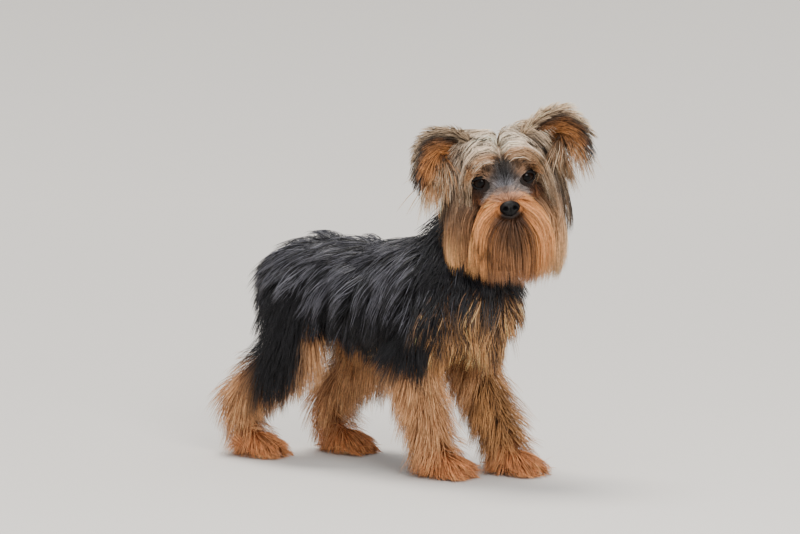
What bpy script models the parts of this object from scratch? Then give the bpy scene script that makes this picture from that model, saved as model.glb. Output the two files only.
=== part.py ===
"""A Yorkshire terrier standing still, life size, as a set of solids that meet face to face.

The dog's body looks along -Y, its left side is +X, and its feet stand on Z = 0. Its head is turned to its
right. Each body part is a core, made of lofts a little thicker than the skin, with the coat's long locks
fused to it. Metres throughout.
"""

import math
import random

import bmesh
import bpy
import numpy as np
from mathutils import Matrix, Vector
from mathutils.bvhtree import BVHTree

SEEDS = {"head": 4}  # for nodes whose locks are strewn by another number than 0
GAP = 0.0005  # left between nodes that touch

# Driving sizes of the body, without its coat.
BACK = 0.199  # height of the back over the loin
WITHERS = 0.207  # height over the shoulders
BRISKET = 0.104  # underside of the chest
TUCK = 0.126  # underside of the loin
RUMP_Y = 0.115  # rear of the buttocks
CHEST_Y = -0.108  # front of the chest
CHEST_HALF = 0.043  # half the width over the ribs
HIP_HALF = 0.036

# Where the feet stand: the middle of each sole.
FORE_LEFT = (0.026, -0.122)
FORE_RIGHT = (-0.025, -0.082)
HIND_LEFT = (0.032, 0.076)
HIND_RIGHT = (-0.034, 0.126)

# The head: its middle, and how it is turned.
HEAD_AT = (-0.0028, -0.1256, 0.2633)
HEAD_YAW = math.radians(48)  # to its right
HEAD_NOD = math.radians(8.5)  # nose down
HEAD_TILT = math.radians(7.5)  # left side up
EYE_AT = (0.0190, 0.0205, 0.0035)  # left eye in the head's own axes: left, forward, up
EYE_RADIUS = 0.0086
NOSE_AT = (0.0, 0.0545, -0.0148)

# How far each core stands over the skin under the long coat, at most half the coat's depth.
CORE_TORSO = 0.0070
CORE_NECK = 0.0060
CORE_LEG = 0.0055
CORE_FOOT = 0.0020
CORE_TAIL = 0.0020
CORE_HEAD = 0.0012

# The ears: left, forward, up and half width from base to tip, in the head's own axes.
EAR_LINE = {
    1: [
        (0.022, -0.010, 0.017, 0.0130),
        (0.038, -0.008, 0.032, 0.0175),
        (0.053, -0.004, 0.039, 0.0155),
        (0.065, 0.002, 0.034, 0.0110),
        (0.073, 0.008, 0.022, 0.0050),
    ],
    -1: [
        (-0.022, -0.010, 0.017, 0.0130),
        (-0.037, -0.006, 0.030, 0.0175),
        (-0.051, -0.001, 0.033, 0.0155),
        (-0.061, 0.005, 0.023, 0.0110),
        (-0.067, 0.010, 0.009, 0.0050),
    ],
}
EAR_THICK = 0.0026
EAR_CUP = 0.38  # how far the ear's edges come forward, as a share of its half width
EAR_ROWS = 8
EAR_COLUMNS = 6

# The lids' opening: half width, heights over and under the middle, slant, and how far the gaze splays.
LID_HALF = 0.0074
LID_ABOVE = 0.0050
LID_BELOW = 0.0044
LID_SLANT = 0.10
EYE_SPLAY = 0.12
LID_THICK = 0.0012
NOSE_HALF = (0.0092, 0.0068, 0.0070)
NOSTRIL = ((0.0030, 0.0010, 0.0002), (0.0038, 0.0050, 0.0000), (0.0058, 0.0078, -0.0008))  # from the nose
NOSTRIL_RADII = (0.0008, 0.0012, 0.0014, 0.0012, 0.0010)
MOUTH = (  # the left half of the mouth's line, from the middle: left, forward, up
    (0.0000, 0.0580, -0.0215),
    (0.0060, 0.0555, -0.0230),
    (0.0110, 0.0490, -0.0225),
    (0.0150, 0.0400, -0.0225),
    (0.0175, 0.0320, -0.0245),
)

# The coat's locks.
LOCK_STATIONS = 4
LOCK_SINK = 0.0022  # depth of a lock's root under the core
LOCK_RIDGE = 0.20  # height of a lock's ridge as a share of its width
LOCK_AT = (0.0, 0.25, 0.6, 0.85, 1.0)
LOCK_WIDE = (0.70, 1.00, 0.92, 0.55, 0.12)
TORSO_TIERS = (20, 54, 88, 122)  # degrees from the spine
TORSO_STEP = 0.0270
TORSO_LENGTH = 0.052
TORSO_WIDTH = 0.0255
TORSO_LIFT = 0.0120
LEG_TIERS = (0.115, 0.090, 0.066, 0.044)  # heights
LEG_LENGTH = 0.042
LEG_WIDTH = 0.017
LEG_LIFT = 0.019
FOOT_TURNS = (-125, -80, -40, 0, 40, 80, 125)  # degrees to the left of straight ahead
FOOT_LENGTH = 0.022
FOOT_WIDTH = 0.0105
FOOT_LIFT = 0.0030
NECK_RINGS = ((0.003, -0.094, 0.205), (0.007, -0.107, 0.228))  # the middle of each ring of locks
NECK_LENGTH = 0.040
NECK_WIDTH = 0.017
NECK_LIFT = 0.007
TAIL_TIERS = ((RUMP_Y + 0.010, BACK - 0.018), (RUMP_Y + 0.022, BACK - 0.034))  # y and height of each middle
TAIL_LENGTH = 0.034
TAIL_WIDTH = 0.012
TAIL_LIFT = 0.005
EAR_HAIR = 0.027
EAR_HAIR_WIDTH = 0.0100
EAR_HAIR_LIFT = 0.003
EAR_ROOTS = (  # where the ear's locks grow: share of its length, and across it from edge to edge (-1 to 1)
    (0.30, 1),
    (0.50, 1),
    (0.68, 1),
    (0.86, 1),
    (0.45, 0),
    (0.72, 0),
    (1.00, 0),
    (0.52, -1),
    (0.70, -1),
    (0.88, -1),
)
HEAD_MIDDLE = (0.0, 0.006, -0.010)  # inside the skull: the locks' roots are seen from here
HEAD_SPACING = 0.0147
HEAD_SPACING_MOST = 0.0165
HEAD_WIDTH = (0.0090, 0.17)  # a lock's width: a fixed part, and a share of its length
HEAD_LIFT = (0.0030, 0.13)  # the same for how far its tip stands off
HEAD_LEAST = 0.017  # hair shorter than this gets no lock
HEAD_SHORTEST = 0.024  # and no lock is shorter than this
EYE_CLEAR = 0.0125

# How the head's hair is combed: a place (left, forward, up) in mm, the way it lies there and its length in
# mm. The same holds mirrored on the right.
COMB = [
    ((0, 40, -1), (0.15, -0.50, 0.70), 7),  # bridge of the nose
    ((0, 27, 10), (0.10, 0.50, 0.80), 10),  # between the eyes
    ((8, 26, 11), (0.50, 0.50, 0.60), 10),
    ((4, 20, 22), (0.80, 0.45, 0.30), 40),  # forehead
    ((21, 22, 15), (0.75, 0.45, 0.35), 14),  # brow
    ((29, 14, 12), (0.85, 0.30, -0.35), 44),
    ((30, 4, 14), (0.80, 0.35, -0.50), 70),  # temple
    ((10, -5, 29), (0.85, 0.25, 0.20), 62),  # crown
    ((8, -22, 24), (0.60, -0.60, 0.00), 38),
    ((6, -34, 4), (0.30, -0.70, -0.60), 40),  # occiput
    ((31, -2, -2), (0.60, 0.15, -0.85), 76),  # cheek
    ((30, 2, -16), (0.50, 0.15, -0.95), 80),
    ((20, 27, -7), (0.60, 0.30, -0.75), 10),  # under the eye
    ((28, 20, -4), (0.60, 0.10, -0.80), 15),
    ((11, 32, -2), (0.50, 0.40, -0.60), 7),  # inner corner of the eye
    ((7, 48, -5), (0.60, 0.30, 0.10), 10),  # top of the muzzle
    ((15, 42, -12), (0.85, 0.30, -0.45), 54),  # side of the muzzle
    ((9, 54, -14), (0.75, 0.45, -0.40), 34),
    ((12, 44, -21), (0.55, 0.25, -0.90), 68),  # lip
    ((0, 46, -26), (0.00, 0.25, -1.00), 76),  # chin
    ((16, 20, -28), (0.40, 0.15, -1.00), 84),  # jaw
    ((10, -6, -28), (0.25, 0.00, -1.00), 64),  # throat
]

# Where the hair bears the locks furthest from the skin, the core has a pad: its middle (left, forward, up)
# in the head's axes and its half sizes. Those off the middle are mirrored.
PADS = [
    ((0.034, -0.002, -0.030), (0.0140, 0.0190, 0.0360)),  # cheeks
    ((0.000, 0.024, -0.044), (0.0270, 0.0170, 0.0210)),  # beard
    ((0.000, -0.006, 0.024), (0.0310, 0.0240, 0.0125)),  # crown
]
BIB = ((0.0, -0.104, 0.150), (0.043, 0.025, 0.042))  # the pad under the chest's long hair

COARSE = 0.0018  # edges shorter than this are collapsed in a node before its neighbours cut it
FINE = 0.00018  # and shorter than this afterwards
TWIN = 0.00001  # points nearer than this on two folds of a skin are moved apart

BLACK = (0.020, 0.021, 0.027)
TAN = (0.56, 0.30, 0.15)
GOLD = (0.50, 0.27, 0.11)
PIGMENT = (0.012, 0.012, 0.014)
COAT_ROUGHNESS = 0.7
WET_ROUGHNESS = 0.25  # of the eyes and the nose
MATERIALS = {
    "dark_coat": (BLACK, COAT_ROUGHNESS),
    "tan_coat": (TAN, COAT_ROUGHNESS),
    "head_hair": (GOLD, COAT_ROUGHNESS),
    "nose_skin": (PIGMENT, WET_ROUGHNESS),
    "eye_gloss": (PIGMENT, WET_ROUGHNESS),
}
MATERIAL_OF = {  # by the first word of a node's name
    "torso": "dark_coat",
    "neck": "dark_coat",
    "tail": "dark_coat",
    "head": "head_hair",
    "ear": "head_hair",
    "foreleg": "tan_coat",
    "hindleg": "tan_coat",
    "forefoot": "tan_coat",
    "hindfoot": "tan_coat",
    "nose": "nose_skin",
    "eye": "eye_gloss",
}
FLOOR = (  # the block below the floor, which cuts the soles flat
    np.array([(x, y, z) for x in (-1, 1) for y in (-1, 1) for z in (-1, 0.0)], float),
    [(0, 1, 3, 2), (4, 6, 7, 5), (0, 4, 5, 1), (2, 3, 7, 6), (0, 2, 6, 4), (1, 5, 7, 3)],
)


def unit(vector):
    """The vector, or each row of vectors, at length 1."""
    vector = np.asarray(vector, float)
    return vector / np.maximum(np.linalg.norm(vector, axis=-1, keepdims=True), 1e-9)


def turned(vector, axis, angle):
    """The vector turned about a unit axis by the right-hand rule."""
    return (
        vector * math.cos(angle)
        + np.cross(axis, vector) * math.sin(angle)
        + axis * (axis @ vector) * (1 - math.cos(angle))
    )


def head_axes():
    """The head's left, forward and up: yawed about Z, then nodded about left, then tilted about forward."""
    forward = np.array([-math.sin(HEAD_YAW), -math.cos(HEAD_YAW), 0.0])
    left = np.array([math.cos(HEAD_YAW), -math.sin(HEAD_YAW), 0.0])
    up = np.array([0.0, 0.0, 1.0])
    forward, up = turned(forward, left, HEAD_NOD), turned(up, left, HEAD_NOD)
    return np.array([turned(left, forward, HEAD_TILT), forward, turned(up, forward, HEAD_TILT)])


HEAD_AXES = head_axes()


def in_head(places):
    """World points from points given as left, forward, up in the head."""
    return np.asarray(places, float) @ HEAD_AXES + np.array(HEAD_AT)


def to_head(points):
    """World points as left, forward, up in the head."""
    return (np.asarray(points, float) - np.array(HEAD_AT)) @ HEAD_AXES.T


def resampled(sections, count):
    """A Catmull-Rom spline through the rows of sections, at count even parameters."""
    rows = np.asarray(sections, float)
    ends = np.vstack([2 * rows[0] - rows[1], rows, 2 * rows[-1] - rows[-2]])
    at = np.linspace(0, len(rows) - 1, count)
    i = np.minimum(at.astype(int), len(rows) - 2)
    t = (at - i)[:, None]
    a, b, c, d = ends[i], ends[i + 1], ends[i + 2], ends[i + 3]
    return 0.5 * (2 * b + (c - a) * t + (2 * a - 5 * b + 4 * c - d) * t**2 + (3 * b - a - 3 * c + d) * t**3)


def loft(sections, rings, sides, grow=0.0, side_axis=(1, 0, 0), dome=0.8):
    """A closed limb through sections, each a centre and three half sizes: sideways, towards up, away from up,
    where up is along x side. A ring is side*cos + up*sin, and each end closes in a dome."""
    rows = resampled(sections, rings)
    centre, half = rows[:, :3], rows[:, 3:] + grow
    along = unit(np.gradient(centre, axis=0))
    side = np.broadcast_to(np.asarray(side_axis, float), along.shape)
    side = unit(side - along * (along * side).sum(axis=1, keepdims=True))
    up = np.cross(along, side)
    turn = np.linspace(0, 2 * math.pi, sides, endpoint=False)

    def ring(k, reach, shrink):
        wide, above, below = half[k] * shrink
        lift = np.where(np.sin(turn) > 0, above, below) * np.sin(turn)
        middle = centre[k] + along[k] * reach
        return middle + np.outer(np.cos(turn) * wide, side[k]) + np.outer(lift, up[k])

    first, last = half[0].mean() * dome, half[-1].mean() * dome
    leans = [math.radians(32), math.radians(62)]
    circles = [ring(0, -first * math.sin(lean), math.cos(lean)) for lean in reversed(leans)]
    circles += [ring(k, 0.0, 1.0) for k in range(rings)]
    circles += [ring(rings - 1, last * math.sin(lean), math.cos(lean)) for lean in leans]
    return tube_mesh(circles, [centre[0] - along[0] * first, centre[-1] + along[-1] * last])


def tube_mesh(circles, poles):
    """Rings of points joined by quads and closed at both ends by a fan round a pole, as (points, faces)."""
    count, sides = len(circles), len(circles[0])
    faces = []
    for j in range(sides):
        m = (j + 1) % sides
        faces.append((count * sides, m, j))
        faces.append((count * sides + 1, (count - 1) * sides + j, (count - 1) * sides + m))
        for k in range(count - 1):
            faces.append((k * sides + j, k * sides + m, (k + 1) * sides + m, (k + 1) * sides + j))
    return np.vstack([*circles, poles]), faces


TORSO = [  # from the rump to the chest: middle, half width, half height above and below it
    (0, RUMP_Y - 0.004, BACK - 0.033, HIP_HALF - 0.010, 0.024, 0.030),
    (0, RUMP_Y - 0.027, BACK - 0.035, HIP_HALF, 0.033, 0.040),
    (0, 0.045, BACK - 0.033, HIP_HALF - 0.001, 0.033, BACK - 0.036 - TUCK),
    (0, 0.000, 0.160, CHEST_HALF - 0.003, 0.036, 0.046),
    (0, -0.045, WITHERS - 0.041, CHEST_HALF, 0.041, WITHERS - 0.045 - BRISKET),
    (0, -0.080, WITHERS - 0.042, CHEST_HALF - 0.001, 0.042, 0.052),
    (0, CHEST_Y + 0.007, WITHERS - 0.045, CHEST_HALF - 0.009, 0.034, 0.042),
]
NECK = [  # from the shoulders to the head, bent to the left because the head looks right
    (0.000, -0.078, WITHERS - 0.020, 0.032, 0.033, 0.035),
    (0.002, -0.091, WITHERS + 0.001, 0.029, 0.030, 0.032),
    (0.007, -0.106, WITHERS + 0.026, 0.026, 0.027, 0.027),
    (0.009, -0.116, WITHERS + 0.046, 0.023, 0.024, 0.023),
]
TAIL = [  # from the tip to the root: docked and held down
    (0, RUMP_Y + 0.026, BACK - 0.040, 0.0050, 0.0050, 0.0050),
    (0, RUMP_Y + 0.019, BACK - 0.024, 0.0065, 0.0065, 0.0065),
    (0, RUMP_Y - 0.004, BACK - 0.016, 0.0080, 0.0080, 0.0080),
]
SKULL = [  # from the occiput to the muzzle's end: forward, up, half width, half height above and below
    (-0.026, 0.0040, 0.0210, 0.0200, 0.0220),
    (-0.008, 0.0030, 0.0300, 0.0270, 0.0290),
    (0.010, 0.0000, 0.0295, 0.0265, 0.0280),
    (0.022, -0.0040, 0.0240, 0.0210, 0.0240),
    (0.031, -0.0100, 0.0185, 0.0135, 0.0170),
    (0.042, -0.0135, 0.0155, 0.0105, 0.0135),
    (0.052, -0.0145, 0.0125, 0.0095, 0.0110),
]


def skull_sections():
    """The skull's sections in world space."""
    return [(*in_head((0, forward, up)), *half) for forward, up, *half in SKULL]


def foreleg_sections(side, foot):
    """From the shoulder to the ankle. side is 1 for left and -1 for right, foot the middle of its sole."""
    wrist_x, wrist_y = foot[0] + side * 0.001, foot[1] + 0.014
    elbow_y = -0.052 + 0.25 * (wrist_y + 0.068)
    return [
        (side * 0.029, -0.078, 0.150, 0.017, 0.025, 0.025),
        (side * 0.033, (elbow_y - 0.078) / 2, 0.128, 0.016, 0.021, 0.021),
        (side * 0.034, elbow_y, BRISKET + 0.002, 0.0135, 0.0155, 0.0160),
        (wrist_x + side * 0.003, elbow_y * 0.45 + wrist_y * 0.55, 0.068, 0.0115, 0.0120, 0.0120),
        (wrist_x, wrist_y, 0.034, 0.0105, 0.0105, 0.0105),
        (wrist_x, wrist_y - 0.001, 0.018, 0.0100, 0.0100, 0.0100),
    ]


def hindleg_sections(side, foot):
    """From the hip to the ankle."""
    ankle_x, ankle_y = foot[0], foot[1] + 0.013
    knee_y = 0.062 + 0.80 * (foot[1] - 0.100)
    hock_y = ankle_y + 0.010
    return [
        (side * 0.024, 0.080, 0.158, 0.018, 0.032, 0.028),
        (side * 0.031, (knee_y + 0.086) / 2, 0.131, 0.0175, 0.029, 0.026),
        (side * 0.037, knee_y, 0.105, 0.0150, 0.021, 0.019),
        (side * 0.037, knee_y * 0.45 + hock_y * 0.55, 0.078, 0.0115, 0.0145, 0.0140),
        (ankle_x + side * 0.002, hock_y, 0.052, 0.0085, 0.0095, 0.0120),
        (ankle_x, ankle_y + 0.004, 0.032, 0.0085, 0.0085, 0.0090),
        (ankle_x, ankle_y, 0.018, 0.0090, 0.0090, 0.0095),
    ]


def foot_sections(foot):
    """From the heel to the toes, sunk a little below the floor, which then cuts the flat of the sole."""
    x, y = foot
    return [
        (x, y + 0.014, 0.0120, 0.0100, 0.0110, 0.0140),
        (x, y + 0.002, 0.0110, 0.0130, 0.0115, 0.0135),
        (x, y - 0.013, 0.0090, 0.0135, 0.0090, 0.0110),
    ]


LEGS = {
    "foreleg_left": (foreleg_sections(1, FORE_LEFT), FORE_LEFT),
    "foreleg_right": (foreleg_sections(-1, FORE_RIGHT), FORE_RIGHT),
    "hindleg_left": (hindleg_sections(1, HIND_LEFT), HIND_LEFT),
    "hindleg_right": (hindleg_sections(-1, HIND_RIGHT), HIND_RIGHT),
}
FEET = {name.replace("leg", "foot"): foot_sections(foot) for name, (_, foot) in LEGS.items()}
STUB_SECTIONS = 3  # how many of a leg's first sections the torso keeps as its shoulder or thigh
STUB_OVER = 0.0012  # how far that stub stands over the leg, so that the leg's own root lies inside it


def pads():
    """The closed meshes of the head's pads."""
    meshes = []
    for (left, forward, up), half in PADS:
        for side in (1, -1) if left else (1,):
            meshes.append(ball(in_head((side * left, forward, up)), half, HEAD_AXES, 5, 9))
    return meshes


def cores(name):
    """The closed meshes of a node's core."""
    if name == "torso":
        meshes = [loft(TORSO, 14, 18, CORE_TORSO, dome=0.55)]
        meshes.append(ball(np.array(BIB[0]), BIB[1], np.eye(3), 5, 10))
        for sections, _ in LEGS.values():
            stub = sections[:STUB_SECTIONS]
            stub[-1] = tuple(np.array(stub[-1]) * 0.35 + np.array(stub[-2]) * 0.65)
            meshes.append(loft(stub, 5, 12, CORE_LEG + STUB_OVER, dome=0.5))
        return meshes
    if name == "neck":
        return [loft(NECK, 7, 16, CORE_NECK, dome=0.3)]
    if name == "tail":
        return [loft(TAIL, 6, 8, CORE_TAIL)]
    if name == "head":
        return [loft(skull_sections(), 13, 18, CORE_HEAD, HEAD_AXES[0], dome=0.45), *pads()]
    if name in LEGS:
        return [loft(LEGS[name][0], 10, 10, CORE_LEG)]
    return [loft(FEET[name], 5, 10, CORE_FOOT)]


def mesh_object(name, points, faces):
    """A new object in the scene from points and faces."""
    mesh = bpy.data.meshes.new(name)
    mesh.from_pydata(np.asarray(points).tolist(), [], [tuple(face) for face in faces])
    mesh.update()
    made = bpy.data.objects.new(name, mesh)
    bpy.context.scene.collection.objects.link(made)
    return made


def remove(things):
    """Deletes objects with their meshes."""
    for thing in things:
        mesh = thing.data
        bpy.data.objects.remove(thing)
        bpy.data.meshes.remove(mesh)


def with_boolean(target, others, operation):
    """target joined with, or cut by, every object of others in one Boolean, which is then applied."""
    if not others:
        return target
    group = bpy.data.collections.new("operands")
    bpy.context.scene.collection.children.link(group)
    for other in others:
        group.objects.link(other)
    modifier = target.modifiers.new("boolean", "BOOLEAN")
    modifier.operation = operation
    modifier.operand_type = "COLLECTION"
    modifier.collection = group
    modifier.solver = "MANIFOLD"
    bpy.context.view_layer.update()
    result = bpy.data.meshes.new_from_object(target.evaluated_get(bpy.context.evaluated_depsgraph_get()))
    target.modifiers.clear()
    before, target.data = target.data, result
    bpy.data.meshes.remove(before)
    bpy.data.collections.remove(group)
    return target


def fused(name, meshes):
    """One object from overlapping closed meshes."""
    whole = mesh_object(name, *meshes[0])
    rest = [mesh_object(f"{name}_piece", *mesh) for mesh in meshes[1:]]
    with_boolean(whole, rest, "UNION")
    remove(rest)
    return whole


def triangles_of(whole):
    """An object's points and its triangles, as lists."""
    whole.data.calc_loop_triangles()
    points = [np.array(vert.co) for vert in whole.data.vertices]
    return points, [tuple(triangle.vertices) for triangle in whole.data.loop_triangles]


def without_short_edges(points, triangles, least):
    """The mesh with edges shorter than least collapsed, each only where exactly two points neighbour both of
    its ends, so that the mesh stays one closed skin."""
    around = [set() for _ in points]
    for index, triangle in enumerate(triangles):
        for corner in triangle:
            around[corner].add(index)
    triangles = [list(triangle) for triangle in triangles]

    def neighbours(corner):
        return {other for index in around[corner] for other in triangles[index]} - {corner}

    for kept in range(len(points)):
        for gone in sorted(neighbours(kept)):
            if gone not in neighbours(kept) or np.linalg.norm(points[kept] - points[gone]) >= least:
                continue
            if len(neighbours(kept) & neighbours(gone)) != 2:
                continue
            for index in list(around[gone]):
                if kept in triangles[index]:
                    for corner in triangles[index]:
                        around[corner].discard(index)
                else:
                    triangles[index][triangles[index].index(gone)] = kept
                    around[kept].add(index)
            around[gone] = set()
    return [triangle for index, triangle in enumerate(triangles) if index in around[triangle[0]]]


def find_neck(points, triangles, owner, least):
    """Three points joined by edges round no triangle, two of them nearer than least, or None."""
    beside = {}
    for a, b in owner:
        beside.setdefault(a, set()).add(b)
    whole = {frozenset(triangle) for triangle in triangles}
    for a, b in owner:
        if a < b and np.linalg.norm(points[a] - points[b]) < least:
            for c in sorted(beside[a] & beside[b]):
                if frozenset((a, b, c)) not in whole:
                    return a, b, c
    return None


def cut_necks(points, triangles, least):
    """Cuts the skin at every neck of three points, and caps both of its sides with a triangle, so that what
    hangs by a thread becomes a skin of its own."""
    triangles = [tuple(triangle) for triangle in triangles]
    while True:
        owner = {}
        for index, (a, b, c) in enumerate(triangles):
            owner[a, b] = owner[b, c] = owner[c, a] = index
        neck = find_neck(points, triangles, owner, least)
        if neck is None:
            return triangles
        a, b, c = neck
        rim = {frozenset(pair) for pair in ((a, b), (b, c), (c, a))}
        side, edge = set(), [owner[a, b], owner[b, c], owner[c, a]]
        while edge:
            index = edge.pop()
            if index in side:
                continue
            side.add(index)
            triangle = triangles[index]
            for first, second in zip(triangle, triangle[1:] + triangle[:1]):
                if frozenset((first, second)) not in rim and (first in neck or second in neck):
                    edge.append(owner[second, first])
        twin = {corner: len(points) + k for k, corner in enumerate(neck)}
        points.extend(points[corner] for corner in neck)
        for index in side:
            triangles[index] = tuple(twin.get(corner, corner) for corner in triangles[index])
        triangles += [(a, b, c), (twin[a], twin[c], twin[b])]


def largest_skin(points, triangles):
    """The triangles of the closed skin that holds the most, found by walking over edges of two triangles."""
    beside = {}
    for index, (a, b, c) in enumerate(triangles):
        for pair in ((a, b), (b, c), (c, a)):
            beside.setdefault((min(pair), max(pair)), []).append(index)
    linked = [[] for _ in triangles]
    for sharing in beside.values():
        if len(sharing) == 2:
            linked[sharing[0]].append(sharing[1])
            linked[sharing[1]].append(sharing[0])
    left, skins = set(range(len(triangles))), []
    while left:
        skin, edge = [], [left.pop()]
        while edge:
            index = edge.pop()
            skin.append(triangles[index])
            for other in linked[index]:
                if other in left:
                    left.discard(other)
                    edge.append(other)
        skins.append(skin)
    return max(skins, key=lambda skin: volume(points, skin))


def part_twins(points, triangles):
    """Moves points that lie on one another a little into the solid, so that two folds of skin never touch."""
    places = {}
    for corner in {corner for triangle in triangles for corner in triangle}:
        places.setdefault(tuple(np.round(points[corner] / TWIN).astype(int)), []).append(corner)
    twins = {corner for corners in places.values() if len(corners) > 1 for corner in corners}
    normals = {corner: np.zeros(3) for corner in twins}
    for triangle in triangles:
        for corner in twins.intersection(triangle):
            first, second, third = (points[other] for other in triangle)
            normals[corner] += np.cross(second - first, third - first)
    for corner in twins:
        points[corner] = points[corner] - unit(normals[corner]) * TWIN * 3


def tidy(whole, least):
    """Collapses the shortest edges that Booleans leave in an object and keeps its largest closed skin."""
    points, triangles = triangles_of(whole)
    for _ in range(2):
        triangles = without_short_edges(points, triangles, least)
        triangles = cut_necks(points, triangles, least)
        triangles = largest_skin(points, triangles)
    part_twins(points, triangles)
    used = sorted({corner for triangle in triangles for corner in triangle})
    place = {corner: index for index, corner in enumerate(used)}
    mesh = bpy.data.meshes.new(whole.name)
    mesh.from_pydata([points[corner].tolist() for corner in used], [],
                     [tuple(place[corner] for corner in triangle) for triangle in triangles])
    before, whole.data = whole.data, mesh
    bpy.data.meshes.remove(before)


def volume(points, triangles):
    """What closed triangles hold."""
    corners = np.array([[points[corner] for corner in triangle] for triangle in triangles])
    return np.linalg.det(corners).sum() / 6


def swollen(whole, gap):
    """A copy of an object, its faces moved out by gap: each point goes where its faces' planes then meet."""
    points, triangles = triangles_of(whole)
    normals = [[] for _ in points]
    for triangle in triangles:
        first, second, third = (points[corner] for corner in triangle)
        normal = unit(np.cross(second - first, third - first))
        for corner in triangle:
            normals[corner].append(normal)
    moved = []
    for point, planes in zip(points, normals):
        step = np.linalg.lstsq(np.array(planes), np.full(len(planes), gap), rcond=0.05)[0]
        moved.append(point + step * min(1.0, 3 * gap / max(np.linalg.norm(step), 1e-9)))
    return mesh_object(f"{whole.name}_swollen", moved, triangles)


def ear_axes(side, along):
    """Across the ear and out of its front, for each direction along it."""
    facing = np.array([0.40 * side, 0.90, 0.10]) @ HEAD_AXES
    across = unit(np.cross(facing, along))
    return across, np.cross(along, across)


def ear_rows(side, count):
    """The ear's middle line in world space and its half widths."""
    rows = resampled([(*place, half, 0, 0) for *place, half in EAR_LINE[side]], count)
    spine = in_head(rows[:, :3])
    return spine, unit(np.gradient(spine, axis=0)), rows[:, 3]


def ear_sheet(side):
    """The ear's closed cup: a leaf along EAR_LINE, its edges bent forward, thinner towards them."""
    spine, along, half = ear_rows(side, EAR_ROWS)
    across, out = ear_axes(side, along)
    share = np.linspace(-1, 1, EAR_COLUMNS)
    sheet = spine[:, None] + across[:, None] * (half[:, None] * share)[..., None]
    sheet += out[:, None] * (EAR_CUP * half[:, None] * share**2)[..., None]
    thick = out[:, None] * (EAR_THICK / 2 * (1 - 0.6 * share**2))[None, :, None]
    front, back = sheet + thick, sheet - thick
    circles = [np.vstack([front[k], back[k, ::-1]]) for k in range(EAR_ROWS)]
    poles = [spine[0] - along[0] * 0.001, spine[-1] + along[-1] * 0.003]
    return outward(*tube_mesh(circles, poles))


def outward(points, faces):
    """The mesh with its faces turned to point outwards."""
    total = 0.0
    for face in faces:
        for second, third in zip(face[1:], face[2:]):
            total += np.dot(points[face[0]], np.cross(points[second], points[third]))
    return (points, faces) if total > 0 else (points, [face[::-1] for face in faces])


def tube(line, radii, sides, closed=False):
    """A round tube along a line of points, with pointed ends, or joined to itself when closed."""
    line = np.asarray(line, float)
    if closed:
        along = unit(np.roll(line, -1, axis=0) - np.roll(line, 1, axis=0))
    else:
        along = unit(np.gradient(line, axis=0))
    side = unit(np.cross(along, line - line.mean(axis=0) + np.array([1e-4, 2e-4, 1e-4])))
    up = np.cross(along, side)
    radii = np.broadcast_to(np.asarray(radii, float), len(line))
    turn = np.linspace(0, 2 * math.pi, sides, endpoint=False)
    circles = [
        middle + radius * (np.outer(np.cos(turn), s) + np.outer(np.sin(turn), u))
        for middle, radius, s, u in zip(line, radii, side, up)
    ]
    if not closed:
        ends = [line[0] - along[0] * radii[0], line[-1] + along[-1] * radii[-1]]
        return outward(*tube_mesh(circles, ends))
    count = len(circles)
    faces = []
    for k in range(count):
        n = (k + 1) % count
        for j in range(sides):
            m = (j + 1) % sides
            faces.append((k * sides + j, k * sides + m, n * sides + m, n * sides + j))
    return outward(np.vstack(circles), faces)


def ball(centre, half, axes, rings=7, sides=12):
    """An ellipsoid with half sizes along three axes, its poles on the second axis."""
    lean = np.linspace(-90, 90, rings + 2)[1:-1]
    turn = np.linspace(0, 2 * math.pi, sides, endpoint=False)
    half = np.asarray(half, float)
    circles = []
    for angle in np.radians(lean):
        flat = np.stack([np.cos(turn) * math.cos(angle), np.full(sides, math.sin(angle)),
                         np.sin(turn) * math.cos(angle)], axis=1)
        circles.append(centre + (flat * half) @ axes)
    poles = [centre - axes[1] * half[1], centre + axes[1] * half[1]]
    return outward(*tube_mesh(circles, poles))


def eye_axes(side):
    """The eye's own axes: sideways, along its gaze, up."""
    gaze = unit(HEAD_AXES[1] + HEAD_AXES[0] * side * EYE_SPLAY + HEAD_AXES[2] * 0.05)
    across = unit(np.cross(gaze, np.cross(HEAD_AXES[0], gaze)))
    return np.array([across, gaze, unit(HEAD_AXES[2] - gaze * (HEAD_AXES[2] @ gaze))])


def eye_centre(side):
    return in_head((side * EYE_AT[0], EYE_AT[1], EYE_AT[2]))


def almond(side, reach, count, scale=1.0):
    """Points round the opening of the lids on a sphere of radius reach about the eye."""
    across, gaze, up = eye_axes(side)
    turn = np.linspace(0, 2 * math.pi, count, endpoint=False)
    wide = np.cos(turn) * LID_HALF * scale
    high = np.sin(turn) * np.where(np.sin(turn) > 0, LID_ABOVE, LID_BELOW) * scale
    high += wide * side * LID_SLANT
    deep = np.sqrt(np.maximum(reach**2 - wide**2 - high**2, (0.3 * reach) ** 2))
    return eye_centre(side) + np.outer(wide, across) + np.outer(high, up) + np.outer(deep, gaze)


def opening(side):
    """The cutter that opens the lids: a cone from the eye's middle through the almond."""
    centre = eye_centre(side)
    ring = almond(side, EYE_RADIUS, 12, 0.88)
    circles = [centre + (ring - centre) * reach for reach in (0.35, 1.0, 1.9)]
    axis = eye_axes(side)[1]
    return outward(*tube_mesh(circles, [centre, centre + axis * EYE_RADIUS * 2.2]))


def surface(tree, point):
    """The nearest place on the cores, and the outward normal there."""
    place, normal, _, _ = tree.find_nearest(Vector(point))
    return np.array(place), np.array(normal)


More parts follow.
